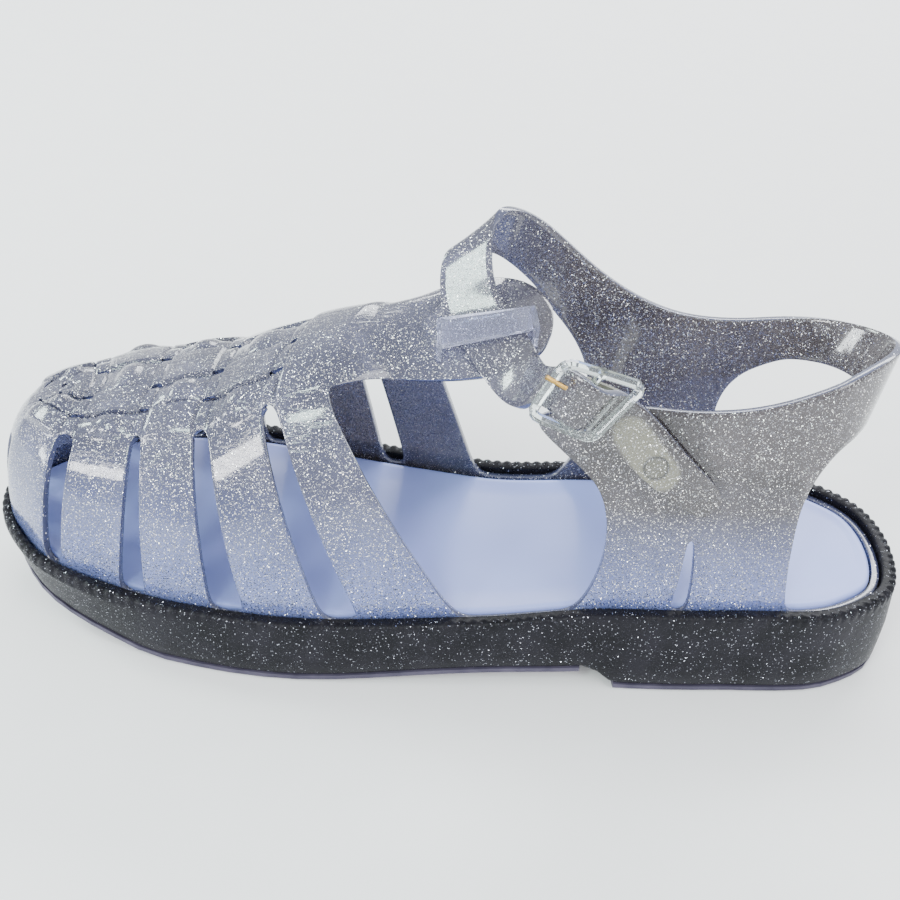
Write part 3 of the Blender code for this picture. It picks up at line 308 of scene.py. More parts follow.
# Ankle strap from the medial quarter over the tongue to its free tip: front edge x, y, z and
# back edge x, y, z of its outer face
ANKLE_STRAP = (
    (15.6, 25.0, 89.1, 25.1, 25.5, 100.7), (10.2, 24.0, 94.2, 18.0, 25.0, 106.5),
    (6.1, 22.3, 97.7, 11.6, 23.5, 110.8), (1.9, 19.8, 101.0, 6.6, 21.0, 113.2),
    (-3.3, 16.4, 103.6, 3.2, 18.0, 114.2), (-7.7, 12.8, 105.4, 1.6, 14.6, 114.0),
    (-10.7, 9.2, 104.6, 0.9, 10.6, 111.6), (-11.7, 5.8, 101.0, 0.9, 7.0, 107.0),
    (-11.4, 2.5, 96.8, 1.6, 3.5, 102.8), (-10.2, -1.0, 92.6, 3.8, -0.5, 98.0),
    (-7.8, -4.8, 89.8, 7.4, -4.2, 95.2), (-4.3, -9.6, 87.4, 10.4, -8.2, 93.4),
    (-0.5, -15.4, 84.6, 12.6, -14.0, 92.2), (4.4, -22.8, 82.4, 13.6, -21.6, 93.4),
    (8.2, -28.8, 83.8, 14.4, -28.4, 96.2), (11.3, -31.8, 87.6, 15.8, -31.8, 98.4),
    (12.8, -32.3, 87.8, 17.3, -32.3, 98.6), (16.9, -36.4, 87.4, 22.5, -36.4, 98.1),
    (20.3, -37.8, 85.4, 26.2, -37.8, 96.1), (23.7, -36.8, 83.6, 29.6, -36.8, 94.3),
    (27.2, -33.0, 81.4, 33.3, -33.0, 92.3), (28.8, -32.6, 80.2, 34.9, -32.6, 91.2),
)

# Free tip of the ankle strap on the near quarter: front edge x and z, back edge x and z, and how far
# its outer face stands off the quarter
STRAP_TIP = (
    (33.4, 76.6, 40.4, 87.4, 4.2),
    (40.6, 70.6, 48.0, 80.4, 4.9),
    (48.6, 64.8, 56.0, 72.6, 4.6),
    (55.4, 60.0, 61.6, 67.0, 3.0),
    (59.4, 58.4, 63.6, 62.6, 2.7),
)

# Where the ankle strap's back edge leaves the top line of the medial quarter: x, z
STRAP_ROOT = (32.9, 94.6)

# Near quarter's front edge: x, z from the foot to the tab's corner, and its rear edge
LATERAL_FRONT = (
    (30.5, 25.8), (34.5, 34.0), (36.0, 42.0), (35.6, 53.0), (31.5, 64.0), (22.0, 70.0), (11.5, 76.0),
)
LATERAL_REAR = (
    (88.5, 27.0), (86.8, 38.0), (86.0, 50.0), (86.0, 61.0), (88.5, 70.0), (90.0, 80.0), (90.0, 92.6),
)

# The far quarter's front and rear edges
MEDIAL_FRONT = (
    (30.5, 25.8), (35.0, 34.0), (37.0, 43.0), (36.0, 54.0), (33.3, 65.8), (28.5, 74.0), (20.7, 82.6),
)
MEDIAL_REAR = (
    (77.0, 28.7), (75.2, 38.0), (74.2, 48.0), (74.4, 58.0), (78.0, 67.5), (81.0, 77.0), (82.5, 84.8),
)

# Top line of the two quarters: x, y, z
LATERAL_TOP = (
    (11.5, -28.0, 81.0), (24.0, -28.3, 84.5), (38.7, -28.5, 86.4), (54.0, -28.3, 85.0),
    (71.7, -27.3, 87.0), (90.0, -23.6, 93.4),
)
MEDIAL_TOP = (
    (32.9, 25.5, 94.6), (45.6, 26.0, 86.7), (57.8, 26.0, 82.8), (74.6, 24.0, 83.4), (82.5, 22.6, 85.4),
)

# Heel band from the lateral to the medial quarter: low edge x, y, z and top edge x, y, z
HEEL_BAND = (
    (92.4, -26.3, 74.6, 96.0, -20.2, 95.2),
    (97.2, -22.8, 77.2, 102.0, -15.8, 96.2),
    (101.4, -17.8, 78.6, 106.8, -10.8, 96.0),
    (104.6, -11.3, 79.4, 109.8, -5.0, 95.0),
    (105.8, -4.4, 79.6, 110.2, 1.5, 93.4),
    (104.4, 2.7, 79.4, 107.2, 8.2, 91.8),
    (100.6, 9.2, 78.6, 101.8, 14.0, 90.2),
    (95.0, 14.8, 77.0, 95.2, 18.4, 88.6),
    (88.2, 19.5, 74.4, 88.8, 21.0, 87.0),
)

# Lines across the vamp from the lateral foot to the ridge, as shares of the way up, with the strand
# each cell after a line belongs to: 0 is a side strap, -1 a gap between two strands
VAMP_LINES = (
    (0.0, 0), (0.08, 0), (0.19, 0), (0.31, 0), (TOE_SLOT_TOP, 0), (0.54, 0),
    (SLOT_TOP, 1), (0.685, 1), (0.75, 1), (0.775, -1), (0.80, 2), (0.825, 2), (0.89, 2),
    (0.915, -1), (0.94, 3), (0.96, 3), (1.0, 3),
)

# Rows of net up a quarter and across the heel band, how far a quarter bulges, the part of its height
# that follows the top line, and the slit in the near quarter: the rows it goes up and its column
LEG_ROWS = 9
BAND_ROWS = 3
QUARTER_BULGE = 0.7
QUARTER_TOP = (0.55, 1.0)
SLIT_ROWS = 3
SLIT_COLUMN = 3

# Lines up each quarter, as shares of its width at the foot and above the slit
LATERAL_SHARES = (
    (0.0, 0.0), (0.15, 0.14), (0.3, 0.28), (0.435, 0.42),
    (0.53, 0.465), (0.69, 0.65), (0.85, 0.83), (1.0, 1.0),
)
MEDIAL_SHARES = (
    (0.0, 0.0), (0.17, 0.18), (0.34, 0.38), (0.5, 0.54), (0.67, 0.7), (0.84, 0.86), (1.0, 1.0),
)


def chord_spline(points, per_span, closed=False):
    """A smooth curve through the points, with per_span samples on each span."""
    pts = np.asarray(points, dtype=float)
    count = len(pts)
    nxt = np.roll(pts, -1, axis=0)
    span = np.linalg.norm(nxt - pts, axis=1)
    slope = (nxt - pts) / span[:, None]
    span_in = np.roll(span, 1)
    slope_in = np.roll(slope, 1, axis=0)
    tangent = (slope * span_in[:, None] + slope_in * span[:, None]) / (span + span_in)[:, None]
    if not closed:
        tangent[0] = slope[0]
        tangent[-1] = slope[-2]
    spans = count if closed else count - 1
    curve = []
    for i in range(spans):
        j = (i + 1) % count
        for t in np.arange(per_span) / per_span:
            curve.append(hermite(pts[i], tangent[i] * span[i], pts[j], tangent[j] * span[i], t))
    if not closed:
        curve.append(pts[-1])
    return np.array(curve)


def arc_lengths(curve):
    """The arc at each point of a curve."""
    return np.concatenate([[0.0], np.cumsum(np.linalg.norm(np.diff(curve, axis=0), axis=1))])


def clamp(value):
    return min(max(value, 0.0), 1.0)


def share_between(span, x):
    """How far x is from the first end of a span to the other, from 0 to 1."""
    return clamp((x - span[0]) / (span[1] - span[0]))


def hermite(start, start_slope, end, end_slope, t):
    square = t * t
    cube = square * t
    return (
        (2 * cube - 3 * square + 1) * start
        + (cube - 2 * square + t) * start_slope
        + (3 * square - 2 * cube) * end
        + (cube - square) * end_slope
    )


def look_up(table, x):
    """Read the columns of a table at x, smoothly and without overshoot between its rows."""
    rows = np.asarray(table, dtype=float)
    xs = rows[:, 0]
    step = np.diff(xs)
    slope = np.diff(rows[:, 1:], axis=0) / step[:, None]
    tangent = np.zeros_like(rows[:, 1:])
    product = slope[:-1] * slope[1:]
    total = np.where(product > 0, slope[:-1] + slope[1:], 1.0)
    tangent[1:-1] = np.where(product > 0, 2 * product / total, 0.0)
    tangent[0] = slope[0]
    tangent[-1] = slope[-1]
    x = min(max(x, xs[0]), xs[-1])
    i = min(max(int(np.searchsorted(xs, x, side="right")) - 1, 0), len(step) - 1)
    t = (x - xs[i]) / step[i]
    value = hermite(rows[i, 1:], tangent[i] * step[i], rows[i + 1, 1:], tangent[i + 1] * step[i], t)
    return value if len(value) > 1 else float(value[0])


def rim_height(x):
    return look_up(RIM_HEIGHT, x)


def ledge_width(x):
    """Width of the rim's top between the outline and the recess, narrower at the toe."""
    return LEDGE_WIDTH + (LEDGE_WIDTH_TOE - LEDGE_WIDTH) * share_between(LEDGE_NARROWS, x)


class Outline:
    """The sole's plan: the rim's outline, and any line a given distance inside it."""

    def __init__(self):
        self.curve = chord_spline(OUTLINE, OUTLINE_SAMPLES, closed=True)
        tangent = np.roll(self.curve, -1, axis=0) - np.roll(self.curve, 1, axis=0)
        tangent /= np.linalg.norm(tangent, axis=1)[:, None]
        self.normal = np.stack([tangent[:, 1], -tangent[:, 0]], axis=1)
        self.arc = arc_lengths(self.curve)
        self.heel = int(self.curve[:, 0].argmax())
        self.toe = int(self.curve[:, 0].argmin())

    def stations(self, xs):
        """Indices of the samples at each x: medial side from heel to toe, then lateral side back."""
        count = len(self.curve)
        medial = np.arange(self.heel, self.heel + (self.toe - self.heel) % count + 1) % count
        lateral = np.arange(self.toe, self.toe + (self.heel - self.toe) % count + 1) % count
        out = []
        for side in (medial, lateral[::-1]):
            side_x = self.curve[side, 0]
            out.append([int(side[np.abs(side_x - x).argmin()]) for x in xs])
        return out

    def inside(self, index, distance):
        return self.curve[index] - self.normal[index] * distance


PLAN = Outline()


class MarginLine:
    """The line where the upper stands: measured by arc from the toe tip, first along the lateral side."""

    def __init__(self):
        inset = np.array([ledge_width(x) + MARGIN_GAP for x in PLAN.curve[:, 0]])
        line = PLAN.curve - PLAN.normal * inset[:, None]
        line = np.roll(line, -int(line[:, 0].argmin()), axis=0)
        line = np.vstack([line, line[:1]])
        self.line = line
        self.arc = arc_lengths(line)
        self.length = self.arc[-1]
        self.heel = int(line[:, 0].argmax())

    def at(self, arc):
        arc = arc % self.length
        return np.array([np.interp(arc, self.arc, self.line[:, axis]) for axis in (0, 1)])

    def lateral_arc(self, x):
        return float(np.interp(x, self.line[: self.heel, 0], self.arc[: self.heel]))

    def medial_arc(self, x):
        side = self.line[self.heel:][::-1]
        return float(np.interp(x, side[:, 0], self.arc[self.heel:][::-1]))


MARGIN = MarginLine()


def margin_point(arc, drop=MARGIN_TOP_DROP):
    x, y = MARGIN.at(arc)
    return np.array([x, y, rim_height(x) - drop])


def foot_stations(count):
    """Values of x along the foot, closer together towards the tips, with rows at the heel breast."""
    low, high = PLAN.curve[:, 0].min(), PLAN.curve[:, 0].max()
    angles = np.linspace(0, math.pi, count)
    xs = list((low + high) / 2 + (high - low) / 2 * np.cos(angles))
    breast = [row[0] for row in GROUND_HEIGHT if BREAST_SPAN[0] < row[0] < BREAST_SPAN[1]]
    xs = [x for x in xs if not BREAST_SPAN[0] < x < BREAST_SPAN[1]] + breast
    return sorted(xs, reverse=True)


def body_bottom(x):
    return look_up(GROUND_HEIGHT, x) + OUTSOLE_THICK + TOUCH_GAP


def low_inset(x):
    """How far the side leans in at the ground: the toe leans in, and the back of the heel flares out."""
    return TOE_LEAN * share_between(TOE_LEANS, x) - HEEL_FLARE * share_between(HEEL_FLARES, x)


class Net:
    """The outer face of the upper as one net of quads. Pieces that join share their edge points."""

    def __init__(self):
        self.points = []
        self.places = {}
        self.faces = []

    def add_grid(self, grid, keep=None, shares=None):
        """Add a grid of points, without the cells that keep(row, column) leaves out."""
        rows = len(grid)
        columns = len(grid[0])
        start = len(self.points)
        if shares is not None:
            for i in range(rows):
                for j in range(columns):
                    self.places[start + i * columns + j] = (float(i), shares[j])
        for row in grid:
            self.points.extend(row)
        for i in range(rows - 1):
            for j in range(columns - 1):
                if keep is None or keep(i, j):
                    a = start + i * columns + j
                    self.faces.append((a, a + 1, a + columns + 1, a + columns))


def vamp_lines():
    """The shares from the lateral foot (0) over the ridge (1) to the medial foot (2), and the strands."""
    shares = [share for share, _ in VAMP_LINES]
    strands = [strand for _, strand in VAMP_LINES[:-1]]
    shares = shares + [2 - share for share in reversed(shares[:-1])]
    mirrored = [strand if strand <= 0 else 6 - strand for strand in reversed(strands)]
    return shares, strands + mirrored


def vamp_columns():
    """Lines along the vamp from the toe tip to the rear strap.

    Each is (lateral arc, lateral top x, medial arc, medial top x, strap that the cells after it
    belong to, where 0 is a slot).
    """
    columns = [(arc, top, arc, top, strap) for arc, top, strap in TOE_PIECE]
    edges = []
    for foot, top, medial_foot, medial_top in STRAP_EDGES:
        medial_arc = MARGIN.length - MARGIN.medial_arc(medial_foot)
        edges.append((MARGIN.lateral_arc(foot), top, medial_arc, medial_top))
    for strap in range(5):
        front = np.array(edges[2 * strap])
        rear = np.array(edges[2 * strap + 1])
        cuts = REAR_STRAP_CUTS if strap == 4 else STRAP_CUTS
        for cut in cuts:
            columns.append((*(front + (rear - front) * cut), strap + 2))
        columns.append((*rear, 0))
    return columns


def vamp_point(column, share):
    """A point of the vamp's outer face, on a superellipse from the foot of a column to the ridge."""
    lateral_arc, lateral_top, medial_arc, medial_top, _ = column
    medial_side = share > 1.0
    climb = 2.0 - share if medial_side else share
    foot = margin_point(MARGIN.length - medial_arc if medial_side else lateral_arc)
    lean_x = medial_top if medial_side else lateral_top
    ridge_x = (lateral_top + medial_top) / 2
    ridge_y, ridge_z = look_up(RIDGE, ridge_x)
    fullness = BODY_FULLNESS + (TOE_FULLNESS - BODY_FULLNESS) * share_between(TOE_FILLS, foot[0])
    angle = climb * math.pi / 2
    inwards = 1.0 - max(math.cos(angle), 0.0) ** (2 / fullness)
    upwards = math.sin(angle) ** (2 / fullness)
    past_slot = share_between((SLOT_TOP, 1.0), climb)
    aim_x = lean_x + (ridge_x - lean_x) * past_slot
    along = inwards + (upwards - inwards) * share_between(STRAPS_LEAN, foot[0])
    x = foot[0] + (aim_x - foot[0]) * along
    y = foot[1] + (ridge_y - foot[1]) * inwards
    z = foot[2] + (ridge_z - foot[2]) * upwards
    return np.array([x, y, z])


def add_vamp(net):
    """The toe piece, the five side straps and the woven strip between their tops."""
    shares, strands = vamp_lines()
    columns = vamp_columns()
    grid = [[vamp_point(column, share) for share in shares] for column in columns]
    surface = np.array(grid)
    weave = [j for j, strand in enumerate(strands) if strand != 0]
    first, last = weave[0], weave[-1] + 1

    def keep(i, j):
        if columns[i][4] > 0:
            return True
        if strands[j] == 0:
            climb = min(shares[j], 2 - shares[j + 1])
            return i == 2 and climb >= TOE_SLOT_TOP - 0.001
        return strands[j] > 0

    net.add_grid(surface, keep, shares)
    return surface, first, last


def tongue_point(x, side):
    """A point of the tongue's outer face: side is -1 at its lateral and 1 at its medial edge."""
    low_y, low_z, mid_y, mid_z, far_y, far_z = look_up(TONGUE, x)
    y = mid_y + side * (mid_y - low_y if side < 0 else far_y - mid_y)
    crown = (low_z + far_z) / 2 - mid_z
    tilt = (far_z - low_z) / 2
    return np.array([x, y, mid_z + tilt * side + crown * side * side])


def add_tongue(net, vamp, first, last):
    """The tongue carries the woven strip on at its last slope, up the instep, to its rounded end."""
    start = vamp[-1, first:last + 1]
    mid = start[(last - first) // 2]
    sides = []
    for p in start:
        span = (mid[1] - start[0][1]) if p[1] < mid[1] else (start[-1][1] - mid[1])
        sides.append((p[1] - mid[1]) / span)
    grid = [list(start)]
    for k in range(1, TONGUE_COLUMNS + 1):
        share = k / TONGUE_COLUMNS
        row = []
        for p, before, side in zip(start, vamp[-2, first:], sides):
            round_off = TONGUE_END_ROUND * (1 - math.sqrt(max(1 - side * side, 0.0)))
            end_x = TONGUE_END_X - round_off
            x = p[0] + (end_x - p[0]) * share
            slope = (p - before) / max(abs(p[0] - before[0]), 1e-6)
            drift = p + slope * min(x - p[0], TONGUE_DRIFT)
            join = smooth_step(0.0, TONGUE_JOIN, share)
            blended = drift * (1 - join) + tongue_point(x, side) * join
            blended[0] = x
            row.append(blended)
        grid.append(row)
    net.add_grid(grid)


def edge_curve(points, shares):
    """Points at the given shares of the arc of a smooth curve through the points."""
    curve = chord_spline(points, 24)
    arc = arc_lengths(curve)
    arc /= arc[-1]
    return [np.array([np.interp(s, arc, curve[:, a]) for a in range(curve.shape[1])]) for s in shares]


def foot_arcs(front, rear, shares, arc_at):
    """Where the columns of a quarter stand on the margin line."""
    front_arc, rear_arc = arc_at(front[0][0]), arc_at(rear[0][0])
    return [front_arc + (rear_arc - front_arc) * low_share for low_share, _ in shares]


def leg_grid(front, rear, top, shares, arc_at, side, root=None):
    """A quarter from its foot to its top line: columns between its front and rear edges."""
    levels = np.linspace(0, 1, LEG_ROWS)
    if root is None:
        front_points = edge_curve(front, levels)
    else:
        front_points = edge_curve(front, np.linspace(0, 1, LEG_ROWS - 2))
        front_points += [(front_points[-1] + np.array(root)) / 2, np.array(root)]
    rear_points = edge_curve(rear, levels)
    top_curve = chord_spline(top, 16)
    grid = []
    for (low_share, high_share), arc in zip(shares, foot_arcs(front, rear, shares, arc_at)):
        column = []
        foot = margin_point(arc)
        slit_level = SLIT_ROWS / (LEG_ROWS - 1)
        for level, a, b in zip(levels, front_points, rear_points):
            share = low_share + (high_share - low_share) * min(level / slit_level, 1.0)
            x, z = a + (b - a) * share
            column.append([x, 0.0, z])
        end_x = top[0][0] + (top[-1][0] - top[0][0]) * high_share
        end = [np.interp(end_x, top_curve[:, 0], top_curve[:, axis]) for axis in range(3)]
        lift = end[2] - column[-1][2]
        slide = end[0] - column[-1][0]
        for level, p in zip(levels, column):
            weight = share_between(QUARTER_TOP, level) ** 2
            p[0] += slide * weight
            p[2] += lift * weight
        shift = foot[0] - column[0][0]
        height = column[-1][2] - foot[2]
        for row, p in enumerate(column):
            p[0] += shift * (1 - levels[row]) ** 3
            climb = clamp((p[2] - foot[2]) / height)
            bulge = side * QUARTER_BULGE * math.sin(math.pi * climb)
            p[1] = foot[1] + (end[1] - foot[1]) * climb + bulge
        column[0] = list(foot)
        grid.append([np.array(p) for p in column])
    return grid


def make_upper():
    """The net of the upper's whole outer face."""
    net = Net()
    vamp, first, last = add_vamp(net)
    add_tongue(net, vamp, first, last)
    lateral = leg_grid(LATERAL_FRONT, LATERAL_REAR, LATERAL_TOP, LATERAL_SHARES, MARGIN.lateral_arc, -1)
    edges = (MEDIAL_FRONT, MEDIAL_REAR, MEDIAL_TOP)
    medial = leg_grid(*edges, MEDIAL_SHARES, MARGIN.medial_arc, 1, STRAP_ROOT)
    net.add_grid(lateral, lambda i, j: not (i == SLIT_COLUMN and j < SLIT_ROWS))
    net.add_grid(medial)
    add_heel_band(net, lateral, medial)
    add_ankle_strap(net, medial, lateral)
    add_margin(net)
    return net


def add_heel_band(net, lateral, medial):
    """The band round the heel, between the rear columns of the two quarters above the open heel."""
    start = lateral[-1][LEG_ROWS - 1 - BAND_ROWS:]
    end = medial[-1][LEG_ROWS - 1 - BAND_ROWS:]
    rows = np.array(HEEL_BAND, dtype=float)
    low_curve = chord_spline([start[0], *rows[:, :3], end[0]], 2)
    top_curve = chord_spline([start[-1], *rows[:, 3:], end[-1]], 2)
    grid = [list(start)]
    for low, top in zip(low_curve[1:-1], top_curve[1:-1]):
        grid.append([low + (top - low) * share for share in np.linspace(0, 1, BAND_ROWS + 1)])
    grid.append(list(end))
    net.add_grid(grid)


def depth_on(grid, x, z):
    """The y of a quarter's outer face at x and z, or of its nearest corner outside it."""
    spot = np.array([x, z])
    for column, following in zip(grid, grid[1:]):
        for j in range(len(column) - 1):
            a, b, c, d = column[j], following[j], following[j + 1], column[j + 1]
            for corners in ((a, b, c), (a, c, d)):
                flat = np.array([[p[0], p[2]] for p in corners])
                sides = np.stack([flat[1] - flat[0], flat[2] - flat[0]], axis=1)
                if abs(np.linalg.det(sides)) < 1e-6:
                    continue
                u, v = np.linalg.solve(sides, spot - flat[0])
                if u >= -0.01 and v >= -0.01 and u + v <= 1.01:
                    return corners[0][1] * (1 - u - v) + corners[1][1] * u + corners[2][1] * v
    cloud = np.array([p for column in grid for p in column])
    return cloud[np.argmin(np.hypot(cloud[:, 0] - x, cloud[:, 2] - z)), 1]


def add_ankle_strap(net, medial, lateral):
    """The strap goes on from the front edge of the medial quarter's top."""
    rows = [list(row) for row in ANKLE_STRAP]
    for front_x, front_z, back_x, back_z, lift in STRAP_TIP:
        front_y = depth_on(lateral, front_x, front_z) - lift
        back_y = depth_on(lateral, back_x, back_z) - lift
        rows.append([front_x, front_y, front_z, back_x, back_y, back_z])
    rows = np.array(rows)
    root = medial[0][-3:]
    front = chord_spline([root[0], *rows[:, :3]], 2)
    back = chord_spline([root[2], *rows[:, 3:]], 2)
    grid = [list(root)]
    for a, b in zip(front[1:], back[1:]):
        grid.append([a, (a + b) / 2, b])
    net.add_grid(grid)


def foot_spans():
    """The stretches of the margin line that a strap, the toe piece or a quarter stands on."""
    spans = []
    columns = vamp_columns()
    for column, following in zip(columns, columns[1:]):
        if column[4] > 0:
            spans.append((column[0], following[0]))
            spans.append((MARGIN.length - following[2], MARGIN.length - column[2]))
    for shares, front, rear, arc_at in (
        (LATERAL_SHARES, LATERAL_FRONT, LATERAL_REAR, MARGIN.lateral_arc),
        (MEDIAL_SHARES, MEDIAL_FRONT, MEDIAL_REAR, MARGIN.medial_arc),
    ):
        arcs = foot_arcs(front, rear, shares, arc_at)
        spans += [tuple(sorted(pair)) for pair in zip(arcs, arcs[1:])]
    return sorted(spans)


def add_margin(net):
    """The lasting margin: a low wall all round, in the groove between the rim and the insole."""
    spans = foot_spans()
    arcs = []
    for k, (start, end) in enumerate(spans):
        arcs.append(start)
        following = spans[k + 1][0] if k + 1 < len(spans) else MARGIN.length
        parts = int(math.ceil((following - end) / MARGIN_STEP)) if following - end > 0.01 else 0
        arcs += [end + (following - end) * step / parts for step in range(parts)]
    arcs.append(MARGIN.length)
    net.add_grid([[margin_point(arc), margin_point(arc, MARGIN_TOP_DROP + MARGIN_TALL)] for arc in arcs])


def ring_inset(ring, x):
    fixed, leaning, ledge, _, _, _ = ring
    return fixed + leaning * low_inset(x) + ledge * ledge_width(x)


def ring_height(ring, x):
    _, _, _, above, down, _ = ring
    rim = rim_height(x)
    return rim + above + (down * (body_bottom(x) - rim) if down else 0.0)


def plan_slab(xs, rings, across):
    """Points and faces of a slab of the sole's plan.

    rings run up the side from low to top, as in SOLE_RINGS. The low and top caps are strips between
    the two sides.
    """
    medial, lateral = PLAN.stations(xs)
    stations = len(medial)
    loop = medial + lateral[::-1]
    loop = (loop[:stations] + loop[stations + 1:])[:-1]
    count = len(loop)
    points = []
    faces = []
    starts = []
    for ring in rings:
        starts.append(len(points))
        for index in loop:
            depth = ring[5] * NOTCH_DEPTH * notch(PLAN.arc[index])
            inset = ring_inset(ring, PLAN.curve[index, 0]) + depth * NOTCH_LEAN
            px, py = PLAN.inside(index, inset)
            points.append((px, py, ring_height(ring, px) - depth))
    for low, high in zip(starts, starts[1:]):
        for i in range(count):
            j = (i + 1) % count
            faces.append((low + i, low + j, high + j, high + i))
    partner = [(count - k) % count for k in range(stations)]
    partner[-1] = stations - 1
    for start, ring in ((starts[0], rings[0]), (starts[-1], rings[-1])):
        pairs = [(start + k, start + partner[k]) for k in range(stations)]
        add_cap(points, faces, pairs, ring, across)
    return points, faces


def add_cap(points, faces, pairs, ring, across):
    """Close a slab with strips between the pairs of points on its two sides."""
    rows = []
    for left, right in pairs:
        a = np.array(points[left])
        b = np.array(points[right])
        row = [left]
        for step in range(1, across):
            if left == right:
                row.append(left)
                continue
            p = a + (b - a) * step / across
            points.append((p[0], p[1], ring_height(ring, p[0])))
            row.append(len(points) - 1)
        rows.append(row + [right])
    for row, nxt in zip(rows, rows[1:]):
        for i in range(across):
            faces.append((row[i], row[i + 1], nxt[i + 1], nxt[i]))


def in_metres(p):
    """A point in the frame, from one in the tables' layout."""
    return (p[0] - MIDDLE[0]) * MM, (p[1] - MIDDLE[1]) * MM, p[2] * MM


def mesh_object(name, points, faces):
    """Make one object from points in the tables' layout."""
    mesh = bpy.data.meshes.new(name)
    data = bmesh.new()
    verts = [data.verts.new(in_metres(p)) for p in points]
    for face in faces:
        corners = list(dict.fromkeys(face))
        if len(corners) > 2:
            data.faces.new([verts[i] for i in corners])
    bmesh.ops.remove_doubles(data, verts=data.verts, dist=0.00001)
    bmesh.ops.delete(data, geom=[v for v in data.verts if not v.link_faces], context="VERTS")
    bmesh.ops.recalc_face_normals(data, faces=data.faces)
    data.to_mesh(mesh)
    data.free()
    mesh.shade_smooth()
    return add_object(name, mesh)


def add_object(name, data):
    obj = bpy.data.objects.new(name, data)
    bpy.context.scene.collection.objects.link(obj)
    return obj


def modify(obj, kind, **settings):
    modifier = obj.modifiers.new(kind, kind)
    for key, value in settings.items():
        setattr(modifier, key, value)


def apply_modifiers(obj):
    """Replace an object's mesh by what its modifiers make of it."""
    bpy.context.view_layer.update()
    result = bpy.data.meshes.new_from_object(obj.evaluated_get(bpy.context.evaluated_depsgraph_get()))
    obj.modifiers.clear()
    obj.data = result


def round_edges(obj, width, segments, angle):
    """Round the edges that are sharper than an angle in degrees, and apply all modifiers."""
    limit = math.radians(angle)
    modify(obj, "BEVEL", width=width * MM, segments=segments, limit_method="ANGLE", angle_limit=limit)
    apply_modifiers(obj)
    obj.data.shade_smooth()


def tag_points(obj, net):
    """Give each point its place in the weave, and a weight that is 0 off the vamp."""
    tagged = sorted(net.places)
    where = np.array([in_metres(net.points[i]) for i in tagged])
    values = [net.places[i] for i in tagged]
    column, share, weight = (obj.data.attributes.new(name, "FLOAT", "POINT") for name in TAGS)
    for i, vertex in enumerate(obj.data.vertices):
        gaps = np.linalg.norm(where - np.array(vertex.co), axis=1)
        nearest = int(gaps.argmin())
        column.data[i].value, share.data[i].value = values[nearest]
        weight.data[i].value = float(gaps[nearest] < TAG_REACH)


def smooth_step(low, high, value):
    t = share_between((low, high), value)
    return t * t * (3 - 2 * t)


def strap_place(column):
    """The strap that a column of the vamp is on (1 to 5, or 0 in a slot) and its place across it."""
    cuts = (*STRAP_CUTS, 1.0)
    if column < FIRST_STRAP_COLUMN:
        return 0, 0.0
    strap = min(int((column - FIRST_STRAP_COLUMN) // 4), 4)
    local = column - FIRST_STRAP_COLUMN - 4 * strap
    if strap == 4:
        return 5, min(local / 4, 1.0)
    if local > 3.0:
        return 0, local - 3.0
    cell = min(int(local), 2)
    return strap + 1, cuts[cell] + (cuts[cell + 1] - cuts[cell]) * (local - cell)


def weave_rise(column, share):
    """How far the weave stands off the vamp, in millimetres."""
    across = min(share, 2.0 - share)
    fade = smooth_step(*WEAVE_FADE, across) * smooth_step(*COLUMN_FADE, column)
    if fade == 0.0:
        return 0.0
    strand = int(np.argmin([abs(across - middle) for middle, _ in STRANDS]))
    middle, half = STRANDS[strand]
    roll = math.sqrt(1.0 - clamp(abs(across - middle) / half) ** STRAND_POWER)
    strap, t = strap_place(column)
    if strap == 0:
        return fade * (roll * SLOT_RISE - SLOT_SINK)
    crest = math.sin(math.pi * clamp(t))
    if strap == 5:
        return fade * REAR_STRAP_RISE * smooth_step(0.0, 0.12, t)
    if (strap + strand) % 2 == 0:
        return fade * (roll * (OVER_RISE + OVER_CREST * crest) - OVER_SINK * (1.0 - SINK_CREST * crest))
    return fade * (STRAP_BASE + STRAP_CREST * crest ** STRAP_POWER)


def raise_weave(obj):
    """Refine the woven strip and push it out along its normals."""
    data = bmesh.new()
    data.from_mesh(obj.data)
    column, share, weight = (data.verts.layers.float[name] for name in TAGS)

    def woven(vertex):
        across = min(vertex[share], 2.0 - vertex[share])
        inside = across > WEAVE_START - 0.01 and vertex[column] > FIRST_STRAP_COLUMN - 1
        return inside and vertex[weight] > 0.0

    edges = [edge for edge in data.edges if all(woven(vertex) for vertex in edge.verts)]
    bmesh.ops.subdivide_edges(data, edges=edges, cuts=1, use_grid_fill=True, smooth=0.0)
    data.normal_update()
    for vertex in data.verts:
        rise = weave_rise(vertex[column], vertex[share]) * smooth_step(0.0, 1.0, vertex[weight])
        vertex.co += vertex.normal * rise * MM
    data.to_mesh(obj.data)
    data.free()


def build_upper():
    """The moulded upper, finer than its CAD solid and with soft edges."""
    net = make_upper()
    obj = mesh_object("upper_shell", net.points, net.faces)
    tag_points(obj, net)
    modify(obj, "SUBSURF", levels=2, render_levels=2)
    apply_modifiers(obj)
    raise_weave(obj)
    obj.data.materials.append(clear_glitter("upper_plastic"))
    # The cut walls get the cut edge's finish, darkened as painted shade
    obj.data.materials.append(finished("upper_edge_painted_shade", CUT_EDGE_WITH_PAINTED_SHADE))
    modify(obj, "SOLIDIFY", thickness=WALL * MM, offset=-1.0, material_offset_rim=1)
    round_edges(obj, *UPPER_EDGE)
    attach(obj, "root")
    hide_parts("upper")


def notch(arc):
    """How deep the rim is notched, from 0 to 1, at an arc along the outline."""
    wave = 0.5 + 0.5 * math.cos(2 * math.pi * arc / NOTCH_PITCH)
    return wave ** NOTCH_POWER


def slab_object(name, stations, rings, across, material):
    points, faces = plan_slab(foot_stations(stations), rings, across)
    obj = mesh_object(name, points, faces)
    obj.data.set_sharp_from_angle(angle=math.radians(SLAB_ANGLE))
    obj.data.materials.append(material)
    return obj


